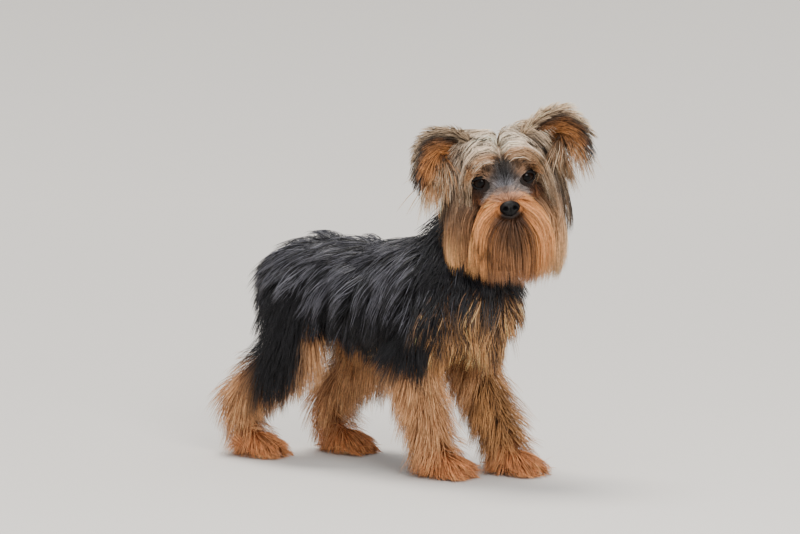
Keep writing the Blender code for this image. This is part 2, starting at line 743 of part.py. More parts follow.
def make_lock(tree, root, way, length, width, lift, fall=0.5, rise=0.30, stations=LOCK_STATIONS,
              sink=LOCK_SINK):
    """A lock as its middle line, the direction its flat side faces, the way it runs and its width. It leaves
    the core at root, bends from way towards the ground by fall, and rises to lift off at its tip."""
    place, normal = surface(tree, root)
    way = unit(np.asarray(way, float) - normal * (normal @ np.asarray(way, float)))
    heading = unit(way + normal * rise)
    step = length / stations
    point, face = place - normal * sink - way * step * 0.25, normal
    line, faces = [], []
    for k in range(stations + 1):
        line.append(point)
        faces.append(unit(face - heading * (face @ heading)))
        share = (k + 1) / stations
        heading = unit(heading + way * 0.25 + np.array([0, 0, -fall]) * share)
        point = point + heading * step
        near, normal = surface(tree, point)
        away = (point - near) @ normal
        if np.linalg.norm(point - near) < 0.02:
            wanted = lift * share**1.3 - sink * (1 - share) ** 2
            if away < wanted:
                point = point + normal * (wanted - away)
                heading = unit(point - line[-1])
            face = unit(face + normal * 0.8)
        point[2] = max(point[2], 0.0015)
    line, faces = np.array(line), np.array(faces)
    along = unit(np.gradient(line, axis=0))
    faces = unit(faces - along * (faces * along).sum(axis=1, keepdims=True))
    return line, faces, along, width


def lock_mesh(lock):
    """A lock's closed mesh: three edges (left, ridge, right) that taper to its tip."""
    line, faces, along, width = lock
    share = np.linspace(0, 1, len(line))
    half = (width / 2 * np.interp(share, LOCK_AT, LOCK_WIDE))[:, None]
    side = np.cross(faces, along) * half
    ridge = faces * half * 2 * LOCK_RIDGE
    circles = np.stack([line + side, line + ridge, line - side], axis=1)[:-1]
    return tube_mesh(list(circles), [line[0] - along[0] * 0.001, line[-1]])


def chance_of(name):
    """A node's own seeded randomness."""
    return random.Random(f"{name} {SEEDS.get(name, 0)}")


def combed(points):
    """The way and length of the head's hair at world points: means of COMB weighted by inverse distance."""
    places = np.array([mark[0] for mark in COMB], float) / 1000
    ways = unit([mark[1] for mark in COMB])
    lengths = np.array([mark[2] for mark in COMB], float) / 1000
    local = to_head(points)
    side = np.where(local[:, 0] < 0, -1.0, 1.0)
    local[:, 0] = np.abs(local[:, 0])
    weight = 1 / (np.linalg.norm(local[:, None] - places[None], axis=2) ** 3 + 1e-9)
    weight /= weight.sum(axis=1, keepdims=True)
    way = unit(weight @ ways)
    way[:, 0] *= side * np.clip(local[:, 0] / 0.004, 0, 1)
    return way @ HEAD_AXES, weight @ lengths


def spread(points, spacing):
    """Indices of points that each keep their own spacing from those chosen before them."""
    kept = []
    for index, point in enumerate(points):
        if all(np.linalg.norm(point - points[other]) > spacing[index] for other in kept):
            kept.append(index)
    return kept


def cast(tree, origin, direction):
    """Where a ray from inside a core leaves it."""
    return np.array(tree.ray_cast(Vector(origin), Vector(direction))[0])


def bearing(angle, lift=0.0, ahead=(0, -1, 0)):
    """A unit direction so many degrees to the left of ahead, and lifted above the ground."""
    turn, lift = math.radians(angle), math.radians(lift)
    forward = np.array(ahead, float)
    flat = forward * math.cos(turn) + np.cross([0, 0, 1], forward) * math.sin(turn)
    return flat * math.cos(lift) + np.array([0, 0, math.sin(lift)])


def head_locks(own, body, chance):
    """Locks all over the skull where the comb makes the hair long, away from the eyes. Each starts on the
    core outside its place on the skull, and is as much shorter."""
    skull = loft(skull_sections(), 30, 48, CORE_HEAD, HEAD_AXES[0], 0.45)[0]
    order = list(range(len(skull)))
    chance.shuffle(order)
    skull = skull[order]
    ways, lengths = combed(skull)
    eyes = np.min([np.linalg.norm(skull - eye_centre(side), axis=1) for side in (1, -1)], axis=0)
    haired = (lengths > HEAD_LEAST) & (eyes > EYE_CLEAR)
    skull, ways, lengths = skull[haired], ways[haired], lengths[haired]
    middle = in_head(HEAD_MIDDLE)
    roots = np.array([cast(own, middle, unit(point - middle)) for point in skull])
    lengths = np.maximum(lengths - np.linalg.norm(roots - skull, axis=1), HEAD_SHORTEST)
    locks = []
    for index in spread(roots, np.clip(lengths * 0.27, HEAD_SPACING, HEAD_SPACING_MOST)):
        length = lengths[index] * chance.uniform(0.85, 1.12)
        width = HEAD_WIDTH[0] + HEAD_WIDTH[1] * length
        lift = HEAD_LIFT[0] + HEAD_LIFT[1] * length * chance.uniform(0.5, 1.2)
        locks.append(make_lock(body, roots[index], ways[index], length, width, lift, fall=0.35))
    return locks


def torso_way(point):
    """How the trunk's coat lies: back along the spine, down on the flanks, straight down at both ends."""
    height = np.clip((point[2] - BRISKET) / (WITHERS - BRISKET), 0, 1)
    side = np.clip(point[0] / 0.02, -1, 1)
    way = np.array([0.50 * side * height, 0.20 + 0.75 * height, -1.05 + 0.55 * height])
    if point[1] < CHEST_Y + 0.012:
        way = np.array([0.20 * side, -0.15, -1.0])
    if point[1] > RUMP_Y - 0.010:
        way = np.array([0.15 * side, 0.30, -1.0])
    return way


def torso_locks(own, body, chance):
    """Tiers of locks down both flanks, and fans of them on the chest and on the rump."""
    roots = []
    for side in (-1, 1):
        for tier, angle in enumerate(TORSO_TIERS):
            first = RUMP_Y - 0.016 - 0.5 * TORSO_STEP * (tier % 2)
            for y in np.arange(first, CHEST_Y + 0.012, -TORSO_STEP):
                lean = math.radians(angle + chance.uniform(-4, 4))
                way = (side * math.sin(lean), 0, math.cos(lean))
                roots.append((cast(own, (0, y + chance.uniform(-0.003, 0.003), 0.158), way), TORSO_LENGTH))
    for lift in (15, -25):
        for angle in (-64, -32, 0, 32, 64):
            way = bearing(angle + chance.uniform(-5, 5), lift)
            roots.append((cast(own, (0, CHEST_Y + 0.020, 0.155), way), TORSO_LENGTH * 1.15))
    for lift in (30, -8):
        for angle in (-50, 0, 50):
            way = bearing(angle + chance.uniform(-5, 5), lift, (0, 1, 0))
            roots.append((cast(own, (0, RUMP_Y - 0.024, 0.162), way), TORSO_LENGTH * 0.85))
    locks = []
    for root, length in roots:
        length *= chance.uniform(0.82, 1.12)
        low = max(0.0, 0.135 - root[2]) / 0.035
        length *= 1 - 0.25 * min(low, 1.0)
        lift = TORSO_LIFT * chance.uniform(0.6, 1.3) * (1.5 if root[1] < CHEST_Y + 0.005 else 1.0)
        width = TORSO_WIDTH * chance.uniform(0.85, 1.1)
        locks.append(make_lock(body, root, torso_way(root), length, width, lift))
    return locks


def neck_locks(own, body, chance):
    """Rings of locks that fall from the neck over the shoulders."""
    locks = []
    for ring, middle in enumerate(NECK_RINGS):
        for angle in range(0, 360, 60):
            out = bearing(angle + 30 * ring + chance.uniform(-6, 6))
            root = cast(own, middle, out)
            way = out * 0.25 + np.array([0, 0.15, -1.0])
            length = NECK_LENGTH * chance.uniform(0.85, 1.1)
            locks.append(make_lock(body, root, way, length, NECK_WIDTH, NECK_LIFT, fall=0.6))
    return locks


def leg_locks(name, own, body, chance):
    """Tiers of locks down a leg. They stand off most at the top and behind a foreleg, and lie flatter where
    they face the other leg."""
    sections = resampled(LEGS[name][0], 30)
    inward = -1.0 if name.endswith("left") else 1.0
    locks = []
    for tier, height in enumerate(LEG_TIERS):
        middle = sections[np.argmin(np.abs(sections[:, 2] - height)), :3]
        for angle in range(0, 360, 90):
            out = bearing(angle + 45 * (tier % 2) + chance.uniform(-8, 8))
            lift = LEG_LIFT * (1.15 - 0.27 * tier) * chance.uniform(0.8, 1.15)
            if out[0] * inward > 0.3:
                lift *= 0.35
            elif out[1] > 0.5 and name.startswith("fore"):
                lift *= 1.3
            length = min(LEG_LENGTH * chance.uniform(0.85, 1.15), height - 0.006)
            root = cast(own, middle, out)
            way = out * 0.10 + np.array([0, 0.06, -1.0])
            lock = make_lock(body, root, way, length, LEG_WIDTH, lift, fall=1.0, rise=0.40, stations=3)
            locks.append(lock)
    return locks


def foot_locks(foot, own, body, chance):
    """A fan of short locks over the toes and round the heel."""
    locks = []
    for angle in FOOT_TURNS:
        out = bearing(angle + chance.uniform(-6, 6))
        root = cast(own, (foot[0], foot[1] - 0.002, 0.012), unit(out + np.array([0, 0, 0.25])))
        way = out + np.array([0, 0, -0.55])
        length = FOOT_LENGTH * chance.uniform(0.85, 1.1)
        lock = make_lock(body, root, way, length, FOOT_WIDTH, FOOT_LIFT, fall=0.35, rise=0.15, stations=2)
        locks.append(lock)
    return locks


def tail_locks(own, body, chance):
    """Locks that fall from the short tail over the rump."""
    locks = []
    for y, z in TAIL_TIERS:
        for angle in (-80, -28, 28, 80):
            root = cast(own, (0, y, z), bearing(angle + chance.uniform(-6, 6), 25, (0, 1, 0)))
            way = np.array([0.25 * np.sign(angle), 0.35, -1.0])
            length = TAIL_LENGTH * chance.uniform(0.85, 1.1)
            locks.append(make_lock(body, root, way, length, TAIL_WIDTH, TAIL_LIFT, stations=4, sink=0.0016))
    return locks


def ear_locks(side, own, chance):
    """The fringe that hangs from the ear's rim and from its back."""
    spine, along, half = ear_rows(side, 24)
    across, out = ear_axes(side, along)
    locks = []
    for share, edge in EAR_ROOTS:
        k = int(round(share * 23))
        root = spine[k] + across[k] * edge * half[k] * 0.80 - out[k] * 0.002
        way = along[k] * 0.8 + across[k] * edge * 0.55 - out[k] * 0.15 + np.array([0, 0, -0.45])
        length = EAR_HAIR * chance.uniform(0.8, 1.1)
        locks.append(make_lock(own, root, way, length, EAR_HAIR_WIDTH, EAR_HAIR_LIFT, fall=0.7, rise=0.2,
                               stations=4, sink=0.0007))
    return locks


def node_pieces():
    """Every node's closed pieces, in an order in which each node gives way to those before it."""
    own = {name: tree_of(cores(name)) for name in ["torso", "neck", "tail", "head", *LEGS, *FEET]}
    body = tree_of([mesh for name in ["torso", "neck", "head", *LEGS] for mesh in cores(name)])
    locks = {"neck": neck_locks(own["neck"], body, chance_of("neck"))}
    locks["head"] = head_locks(own["head"], body, chance_of("head"))
    for side, name in ((1, "ear_left"), (-1, "ear_right")):
        locks[name] = ear_locks(side, tree_of([ear_sheet(side)]), chance_of(name))
    locks["torso"] = torso_locks(own["torso"], body, chance_of("torso"))
    locks["tail"] = tail_locks(own["tail"], body, chance_of("tail"))
    for name in LEGS:
        locks[name] = leg_locks(name, own[name], body, chance_of(name))
    for name in FEET:
        foot = LEGS[name.replace("foot", "leg")][1]
        locks[name] = foot_locks(foot, own[name], own[name], chance_of(name))
    pieces = {"eye_left": [eye_ball(1)], "eye_right": [eye_ball(-1)], "nose": [nose_pad()]}
    for name, own_locks in locks.items():
        pieces[name] = body_meshes(name) + [lock_mesh(lock) for lock in own_locks]
    return pieces


def eye_ball(side):
    """The eye: a ball with its poles along the gaze."""
    return ball(eye_centre(side), [EYE_RADIUS] * 3, eye_axes(side), 9, 14)


def nose_pad():
    """The nose's pad."""
    return ball(in_head(NOSE_AT), NOSE_HALF, HEAD_AXES, 7, 14)


def nostrils():
    """The two cutters of the nostrils, each a bent drop that opens forward and outward."""
    cutters = []
    for side in (-1, 1):
        places = np.array(NOSE_AT) + np.array(NOSTRIL) * (side, 1, 1)
        line = resampled([(*row, 0, 0, 0) for row in places], len(NOSTRIL_RADII))[:, :3]
        cutters.append(tube(in_head(line), NOSTRIL_RADII, 6))
    return cutters


def mouth_line(tree, drop):
    """Points along the line of the mouth on the muzzle, moved down by drop."""
    places = [(-left, forward, up) for left, forward, up in MOUTH[:0:-1]] + list(MOUTH)
    rows = resampled([(*place, 0, 0, 0) for place in places], 15)[:, :3] - np.array([0, 0, drop])
    return np.array([surface(tree, point)[0] for point in in_head(rows)])


def body_meshes(name):
    """A node's meshes without its locks: its core, and on the head the lids and the lips too."""
    if name.startswith("ear"):
        return [ear_sheet(1 if name.endswith("left") else -1)]
    meshes = cores(name)
    if name != "head":
        return meshes
    for side in (-1, 1):
        meshes.append(tube(almond(side, EYE_RADIUS + 0.0004, 14), LID_THICK, 6, closed=True))
    tree = tree_of(cores("head"))
    meshes.append(tube(mouth_line(tree, -0.0017), 0.0013, 5))
    meshes.append(tube(mouth_line(tree, 0.0015), 0.0011, 5))
    return meshes


def holes(name):
    """The cutters that shape a node on its own, whatever its neighbours are."""
    if name == "head":
        tree = tree_of(cores("head"))
        return [opening(-1), opening(1), tube(mouth_line(tree, 0.0), 0.0006, 4)]
    if name == "nose":
        return nostrils()
    return []


def tree_of(meshes):
    """A search tree over the skin of fused meshes."""
    whole = fused("tree", meshes)
    work = bmesh.new()
    work.from_mesh(whole.data)
    bmesh.ops.triangulate(work, faces=work.faces)
    tree = BVHTree.FromBMesh(work)
    work.free()
    remove([whole])
    return tree


def box_of(whole):
    """The lowest and the highest corner round an object."""
    corners = np.array([tuple(corner) for corner in whole.bound_box])
    return corners.min(axis=0), corners.max(axis=0)


def near(first, second):
    """Whether the boxes of two objects overlap, grown by the gap."""
    low, high = box_of(first)
    other_low, other_high = box_of(second)
    return bool((low <= other_high + GAP).all() and (other_low <= high + GAP).all())


def build_nodes():
    """Each node fused from its pieces, then cut by its own holes, by the floor and by the nodes before it."""
    made = {}
    for name, pieces in node_pieces().items():
        node = fused(name, pieces)
        if len(pieces) > 2:
            tidy(node, COARSE)
        tools = [mesh_object("hole", *mesh) for mesh in holes(name)]
        close = [other for other in made.values() if near(node, other)]
        tools += [swollen(other, gap) for other in close for gap in (GAP, 0.0)]
        if box_of(node)[0][2] < 0.0:
            tools.append(mesh_object("floor", *FLOOR))
        with_boolean(node, tools, "DIFFERENCE")
        remove(tools)
        tidy(node, FINE)
        made[name] = node
    return made


def made_material(name):
    """The Principled material of that name, made when it is first wanted."""
    material = bpy.data.materials.get(name)
    if material is None:
        colour, roughness = MATERIALS[name]
        material = bpy.data.materials.new(name)
        material.use_nodes = True
        shader = material.node_tree.nodes["Principled BSDF"]
        shader.inputs["Base Color"].default_value = (*colour, 1)
        shader.inputs["Roughness"].default_value = roughness
    return material


def main():
    for thing in list(bpy.data.objects):
        bpy.data.objects.remove(thing)
    nodes = build_nodes()
    dog = bpy.data.collections.new("yorkshire_terrier")
    bpy.context.scene.collection.children.link(dog)
    for name, node in nodes.items():
        bpy.context.scene.collection.objects.unlink(node)
        dog.objects.link(node)
        node.data.materials.clear()
        node.data.materials.append(made_material(MATERIAL_OF[name.split("_")[0]]))
    boxes = [box_of(node) for node in nodes.values()]
    low = np.min([box[0] for box in boxes], axis=0)
    high = np.max([box[1] for box in boxes], axis=0)
    middle = (low + high) / 2
    for node in nodes.values():
        node.data.transform(Matrix.Translation((-middle[0], -middle[1], -low[2])))


main()
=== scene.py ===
"""The looks of a Yorkshire terrier standing still, life size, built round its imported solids.

One skin carries the whole body. Over it grows the coat: tufts of hair, each a thin closed blade that follows
the way the hair lies there, in locks that draw together towards their tips. Metres throughout. Every shape is
worked out where the dog stands over the middle of its feet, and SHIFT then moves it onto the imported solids.
"""

import math

import bpy
import numpy as np
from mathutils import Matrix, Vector
from mathutils.bvhtree import BVHTree
from mathutils.kdtree import KDTree


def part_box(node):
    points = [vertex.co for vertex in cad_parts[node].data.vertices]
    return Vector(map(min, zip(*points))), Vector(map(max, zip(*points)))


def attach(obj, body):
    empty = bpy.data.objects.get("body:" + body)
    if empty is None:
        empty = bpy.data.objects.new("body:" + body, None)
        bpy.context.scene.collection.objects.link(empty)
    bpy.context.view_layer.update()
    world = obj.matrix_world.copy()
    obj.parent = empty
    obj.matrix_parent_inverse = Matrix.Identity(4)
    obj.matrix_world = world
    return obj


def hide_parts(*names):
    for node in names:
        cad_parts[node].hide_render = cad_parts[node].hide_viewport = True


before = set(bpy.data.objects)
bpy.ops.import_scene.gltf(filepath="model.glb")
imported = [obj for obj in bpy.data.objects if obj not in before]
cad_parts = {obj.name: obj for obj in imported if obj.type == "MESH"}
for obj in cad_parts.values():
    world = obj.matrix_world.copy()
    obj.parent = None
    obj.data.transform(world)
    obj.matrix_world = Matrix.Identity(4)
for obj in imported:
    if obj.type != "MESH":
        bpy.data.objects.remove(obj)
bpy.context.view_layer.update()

# Driving sizes of the body under its coat.
BACK = 0.199
WITHERS = 0.207
BRISKET = 0.104
TUCK = 0.126
RUMP_Y = 0.115
CHEST_Y = -0.108
CHEST_HALF = 0.043
HIP_HALF = 0.036
FORE_LEFT = (0.026, -0.122)
FORE_RIGHT = (-0.025, -0.082)
HIND_LEFT = (0.032, 0.076)
HIND_RIGHT = (-0.034, 0.126)

# The head: its middle, how it is turned, and what it carries in its own axes (left, forward, up).
HEAD_AT = (-0.0028, -0.1256, 0.2633)
HEAD_YAW = math.radians(48)
HEAD_NOD = math.radians(8.5)
HEAD_TILT = math.radians(7.5)
EYE_AT = (0.0190, 0.0205, 0.0035)
EYE_RADIUS = 0.0086
EYE_SPLAY = 0.12
LID_HALF = 0.0074
LID_ABOVE = 0.0050
LID_BELOW = 0.0044
LID_SLANT = 0.10
NOSE_AT = (0.0, 0.0545, -0.0148)
NOSE_HALF = (0.0092, 0.0068, 0.0070)
LID_THICK = 0.0011  # how far the skin stands over the eye's ball outside the lids' opening
EYE_GAP = 0.0012  # how far it lies behind the ball inside the opening
CORNEA = 0.045  # how far the front of the eye bulges, as a share of its radius

SKIN_VOXEL = 0.0015
SKIN_SHADE = 0.75  # the skin's colours as a share of the hair's at its root
FLOOR_GAP = (0.0006, 0.0008)  # the lowest heights of skin and hair
DOWN = np.array([0.0, 0.0, -1.0])


def unit(vector):
    """Each row of vectors at length 1."""
    vector = np.asarray(vector, float)
    return vector / np.maximum(np.linalg.norm(vector, axis=-1, keepdims=True), 1e-9)


def dot(first, second):
    """The scalar product of each pair of rows, as a column."""
    return (first * second).sum(axis=-1, keepdims=True)


def ease(low, high, value):
    """0 below low, 1 above high, and the smooth step 3t^2 - 2t^3 between."""
    t = np.clip((np.asarray(value, float) - low) / (high - low), 0, 1)
    return t * t * (3 - 2 * t)


def around(count):
    """So many even angles once round, from 0."""
    return np.linspace(0, 2 * math.pi, count, endpoint=False)


def turned(vector, axis, angle):
    """The vector turned about a unit axis by the right-hand rule."""
    return (
        vector * math.cos(angle)
        + np.cross(axis, vector) * math.sin(angle)
        + axis * (axis @ vector) * (1 - math.cos(angle))
    )


def head_axes():
    """The head's left, forward and up: yawed about Z, then nodded about left, then tilted about forward."""
    forward = np.array([-math.sin(HEAD_YAW), -math.cos(HEAD_YAW), 0.0])
    left = np.array([math.cos(HEAD_YAW), -math.sin(HEAD_YAW), 0.0])
    up = np.array([0.0, 0.0, 1.0])
    forward, up = turned(forward, left, HEAD_NOD), turned(up, left, HEAD_NOD)
    return np.array([turned(left, forward, HEAD_TILT), forward, turned(up, forward, HEAD_TILT)])


HEAD_AXES = head_axes()


def in_head(places):
    """World points from points given as left, forward, up in the head."""
    return np.asarray(places, float) @ HEAD_AXES + np.array(HEAD_AT)


def to_head(points):
    """World points as left, forward, up in the head."""
    return (np.asarray(points, float) - np.array(HEAD_AT)) @ HEAD_AXES.T


def eye_centre(side):
    """The middle of the eye on one side, 1 for left and -1 for right."""
    return in_head((side * EYE_AT[0], EYE_AT[1], EYE_AT[2]))


def eye_axes(side):
    """The eye's own axes: sideways, along its gaze, up."""
    gaze = unit(HEAD_AXES[1] + HEAD_AXES[0] * side * EYE_SPLAY + HEAD_AXES[2] * 0.05)
    across = unit(np.cross(gaze, np.cross(HEAD_AXES[0], gaze)))
    return np.array([across, gaze, unit(HEAD_AXES[2] - gaze * (HEAD_AXES[2] @ gaze))])


EYE_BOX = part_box("eye_left")
SHIFT = (np.array(EYE_BOX[0]) + np.array(EYE_BOX[1])) / 2 - eye_centre(1)

# Cross sections of the body. Each is a middle and three half sizes: sideways, above and below.
TORSO = [
    (0, RUMP_Y - 0.004, BACK - 0.033, HIP_HALF - 0.010, 0.024, 0.030),
    (0, RUMP_Y - 0.027, BACK - 0.035, HIP_HALF, 0.033, 0.040),
    (0, 0.045, BACK - 0.033, HIP_HALF - 0.001, 0.033, BACK - 0.036 - TUCK),
    (0, 0.000, 0.160, CHEST_HALF - 0.003, 0.036, 0.046),
    (0, -0.045, WITHERS - 0.041, CHEST_HALF, 0.041, WITHERS - 0.045 - BRISKET),
    (0, -0.080, WITHERS - 0.042, CHEST_HALF - 0.001, 0.042, 0.052),
    (0, CHEST_Y + 0.007, WITHERS - 0.045, CHEST_HALF - 0.009, 0.034, 0.042),
]
NECK = [
    (0.000, -0.078, WITHERS - 0.020, 0.032, 0.033, 0.035),
    (0.002, -0.091, WITHERS + 0.001, 0.029, 0.030, 0.032),
    (0.007, -0.106, WITHERS + 0.026, 0.026, 0.027, 0.027),
    (0.009, -0.116, WITHERS + 0.046, 0.023, 0.024, 0.023),
]
TAIL = [
    (0, RUMP_Y + 0.026, BACK - 0.040, 0.0050, 0.0050, 0.0050),
    (0, RUMP_Y + 0.019, BACK - 0.024, 0.0065, 0.0065, 0.0065),
    (0, RUMP_Y - 0.004, BACK - 0.016, 0.0080, 0.0080, 0.0080),
]
SKULL = [  # forward, up, half width, half height above and below
    (-0.026, 0.0040, 0.0210, 0.0200, 0.0220),
    (-0.008, 0.0030, 0.0300, 0.0270, 0.0290),
    (0.010, 0.0000, 0.0295, 0.0265, 0.0280),
    (0.022, -0.0040, 0.0240, 0.0210, 0.0240),
    (0.031, -0.0100, 0.0185, 0.0135, 0.0170),
    (0.042, -0.0135, 0.0155, 0.0105, 0.0135),
    (0.052, -0.0145, 0.0125, 0.0095, 0.0110),
]
FLESH = [  # soft forms of the head: middle in the head's axes and half sizes, mirrored where off the middle
    ((0.0230, 0.0020, -0.0100), (0.0100, 0.0160, 0.0150)),  # cheek
    ((0.0170, 0.0215, 0.0110), (0.0085, 0.0065, 0.0045)),  # brow
    ((0.0080, 0.0450, -0.0165), (0.0085, 0.0125, 0.0085)),  # upper lip
    ((0.0000, 0.0420, -0.0255), (0.0095, 0.0130, 0.0055)),  # chin
    ((0.0260, -0.0080, 0.0160), (0.0070, 0.0090, 0.0090)),  # root of the ear
    ((0.0112, 0.0262, 0.0020), (0.0050, 0.0045, 0.0055)),  # inner corner of the eye
]
EAR_LINE = {  # left, forward, up and half width from base to tip, in the head's axes
    1: [
        (0.022, -0.010, 0.017, 0.0130),
        (0.038, -0.008, 0.032, 0.0175),
        (0.053, -0.004, 0.039, 0.0155),
        (0.065, 0.002, 0.034, 0.0110),
        (0.073, 0.008, 0.022, 0.0050),
    ],
    -1: [
        (-0.022, -0.010, 0.017, 0.0130),
        (-0.037, -0.006, 0.030, 0.0175),
        (-0.051, -0.001, 0.033, 0.0155),
        (-0.061, 0.005, 0.023, 0.0110),
        (-0.067, 0.010, 0.009, 0.0050),
    ],
}
EAR_THICK = 0.0034
EAR_CUP = 0.38
EAR_STATIONS = 40  # how finely the ear is looked up along its middle line
EAR_MIDDLE = 18  # the station near its middle that tells which edge is the upper one
EAR_ROOT = 8  # the stations at its root that count as head


def foreleg(side, foot):
    """A foreleg's sections from the shoulder to the ankle."""
    wrist_x, wrist_y = foot[0] + side * 0.001, foot[1] + 0.014
    elbow_y = -0.052 + 0.25 * (wrist_y + 0.068)
    return [
        (side * 0.029, -0.078, 0.150, 0.017, 0.025, 0.025),
        (side * 0.033, (elbow_y - 0.078) / 2, 0.128, 0.016, 0.021, 0.021),
        (side * 0.034, elbow_y, BRISKET + 0.002, 0.0135, 0.0155, 0.0160),
        (wrist_x + side * 0.003, elbow_y * 0.45 + wrist_y * 0.55, 0.068, 0.0115, 0.0120, 0.0120),
        (wrist_x, wrist_y, 0.034, 0.0105, 0.0105, 0.0105),
        (wrist_x, wrist_y - 0.001, 0.018, 0.0100, 0.0100, 0.0100),
    ]


def hindleg(side, foot):
    """A hind leg's sections from the hip to the ankle."""
    ankle_x, ankle_y = foot[0], foot[1] + 0.013
    knee_y = 0.062 + 0.80 * (foot[1] - 0.100)
    hock_y = ankle_y + 0.010
    return [
        (side * 0.024, 0.080, 0.158, 0.018, 0.032, 0.028),
        (side * 0.031, (knee_y + 0.086) / 2, 0.131, 0.0175, 0.029, 0.026),
        (side * 0.037, knee_y, 0.105, 0.0150, 0.021, 0.019),
        (side * 0.037, knee_y * 0.45 + hock_y * 0.55, 0.078, 0.0115, 0.0145, 0.0140),
        (ankle_x + side * 0.002, hock_y, 0.052, 0.0085, 0.0095, 0.0120),
        (ankle_x, ankle_y + 0.004, 0.032, 0.0085, 0.0085, 0.0090),
        (ankle_x, ankle_y, 0.018, 0.0090, 0.0090, 0.0095),
    ]


def paw(foot):
    """A foot's sections from the heel to the toes, resting on the floor."""
    x, y = foot
    return [
        (x, y + 0.014, 0.0120, 0.0100, 0.0110, 0.0112),
        (x, y + 0.002, 0.0110, 0.0130, 0.0115, 0.0102),
        (x, y - 0.013, 0.0090, 0.0135, 0.0090, 0.0082),
    ]


LIMBS = {
    "torso": (TORSO, (1, 0, 0)),
    "neck": (NECK, (1, 0, 0)),
    "tail": (TAIL, (1, 0, 0)),
    "head": ([(*in_head((0, forward, up)), *half) for forward, up, *half in SKULL], HEAD_AXES[0]),
    "foreleg_left": (foreleg(1, FORE_LEFT), (1, 0, 0)),
    "foreleg_right": (foreleg(-1, FORE_RIGHT), (1, 0, 0)),
    "hindleg_left": (hindleg(1, HIND_LEFT), (1, 0, 0)),
    "hindleg_right": (hindleg(-1, HIND_RIGHT), (1, 0, 0)),
    "forefoot_left": (paw(FORE_LEFT), (1, 0, 0)),
    "forefoot_right": (paw(FORE_RIGHT), (1, 0, 0)),
    "hindfoot_left": (paw(HIND_LEFT), (1, 0, 0)),
    "hindfoot_right": (paw(HIND_RIGHT), (1, 0, 0)),
}


def resampled(sections, count):
    """A Catmull-Rom spline through the rows of sections, at count even parameters."""
    rows = np.asarray(sections, float)
    ends = np.vstack([2 * rows[0] - rows[1], rows, 2 * rows[-1] - rows[-2]])
    at = np.linspace(0, len(rows) - 1, count)
    i = np.minimum(at.astype(int), len(rows) - 2)
    t = (at - i)[:, None]
    a, b, c, d = ends[i], ends[i + 1], ends[i + 2], ends[i + 3]
    return 0.5 * (2 * b + (c - a) * t + (2 * a - 5 * b + 4 * c - d) * t**2 + (3 * b - a - 3 * c + d) * t**3)


def spine_axes(centre, side_axis):
    """Along a line, sideways of it and up (along x sideways), at each of its points."""
    along = unit(np.gradient(centre, axis=0))
    side = np.broadcast_to(np.asarray(side_axis, float), along.shape)
    side = unit(side - along * dot(side, along))
    return along, side, np.cross(along, side)


def loft(sections, side_axis, rings=36, sides=40, dome=0.6):
    """A limb's skin. The point at share t along and angle a round is middle(t) + side*cos(a)*half width +
    up*sin(a)*half height, and each end shrinks in a quarter circle onto its pole."""
    rows = resampled(sections, rings)
    along, side, up = spine_axes(rows[:, :3], side_axis)
    lean = np.radians([80, 60, 40, 20])
    first, last = rows[0, 3:].mean() * dome, rows[-1, 3:].mean() * dome
    at = np.r_[np.zeros(4, int), np.arange(rings), np.full(4, rings - 1)]
    reach = np.r_[-first * np.sin(lean), np.zeros(rings), last * np.sin(lean[::-1])][:, None]
    shrink = np.r_[np.cos(lean), np.ones(rings), np.cos(lean[::-1])][:, None]
    turn = around(sides)
    wide = np.cos(turn) * rows[at, 3:4] * shrink
    high = np.sin(turn) * np.where(np.sin(turn) > 0, rows[at, 4:5], rows[at, 5:6]) * shrink
    middle = rows[at, :3] + along[at] * reach
    grid = middle[:, None] + wide[..., None] * side[at, None] + high[..., None] * up[at, None]
    poles = np.array([rows[0, :3] - along[0] * first, rows[-1, :3] + along[-1] * last])
    return closed_grid(grid, poles)


def closed_grid(grid, poles=None):
    """The mesh of a grid of points, round in its second direction. Two poles close its ends, or it is joined
    to itself in the first direction too. Faces are quads, as (points, faces)."""
    rings, sides = grid.shape[:2]
    index = np.arange(rings * sides).reshape(rings, sides)
    following = np.roll(index, -1, axis=0) if poles is None else index[1:]
    here = index if poles is None else index[:-1]
    quads = np.stack([here, np.roll(here, -1, axis=1), np.roll(following, -1, axis=1), following], axis=-1)
    points = grid.reshape(-1, 3)
    faces = quads.reshape(-1, 4).tolist()
    if poles is not None:
        points = np.vstack([points, poles])
        tip = np.full(sides, rings * sides)
        faces += np.stack([tip, np.roll(index[0], -1), index[0]], axis=1).tolist()
        faces += np.stack([tip + 1, index[-1], np.roll(index[-1], -1)], axis=1).tolist()
    return outward(points, faces)


def outward(points, faces):
    """The closed mesh with its faces turned to point outwards, judged by the volume that they enclose."""
    corners = np.array([face[:3] for face in faces])
    a, b, c = points[corners[:, 0]], points[corners[:, 1]], points[corners[:, 2]]
    last = points[np.array([face[-1] for face in faces])]
    volume = (dot(a, np.cross(b, c)) + dot(a, np.cross(c, last))).sum()
    return (points, faces) if volume > 0 else (points, [face[::-1] for face in faces])


POLES = np.array([[0, -1, 0], [0, 1, 0]])


def sphere(rings, sides):
    """Rows of points on the unit ball, (cos u sin v, -cos v, sin u sin v) at angles u round it and v from its
    first pole, and the angles v as a column."""
    lean = np.linspace(0, math.pi, rings + 2)[1:-1, None]
    turn = around(sides)
    high = np.broadcast_to(-np.cos(lean), (rings, sides))
    return np.stack([np.cos(turn) * np.sin(lean), high, np.sin(turn) * np.sin(lean)], axis=-1), lean


def ball(centre, half, axes, rings=15, sides=24):
    """An ellipsoid: centre + half sizes times the unit ball's points along three axes."""
    return closed_grid(centre + (sphere(rings, sides)[0] * half) @ axes, centre + (POLES * half) @ axes)


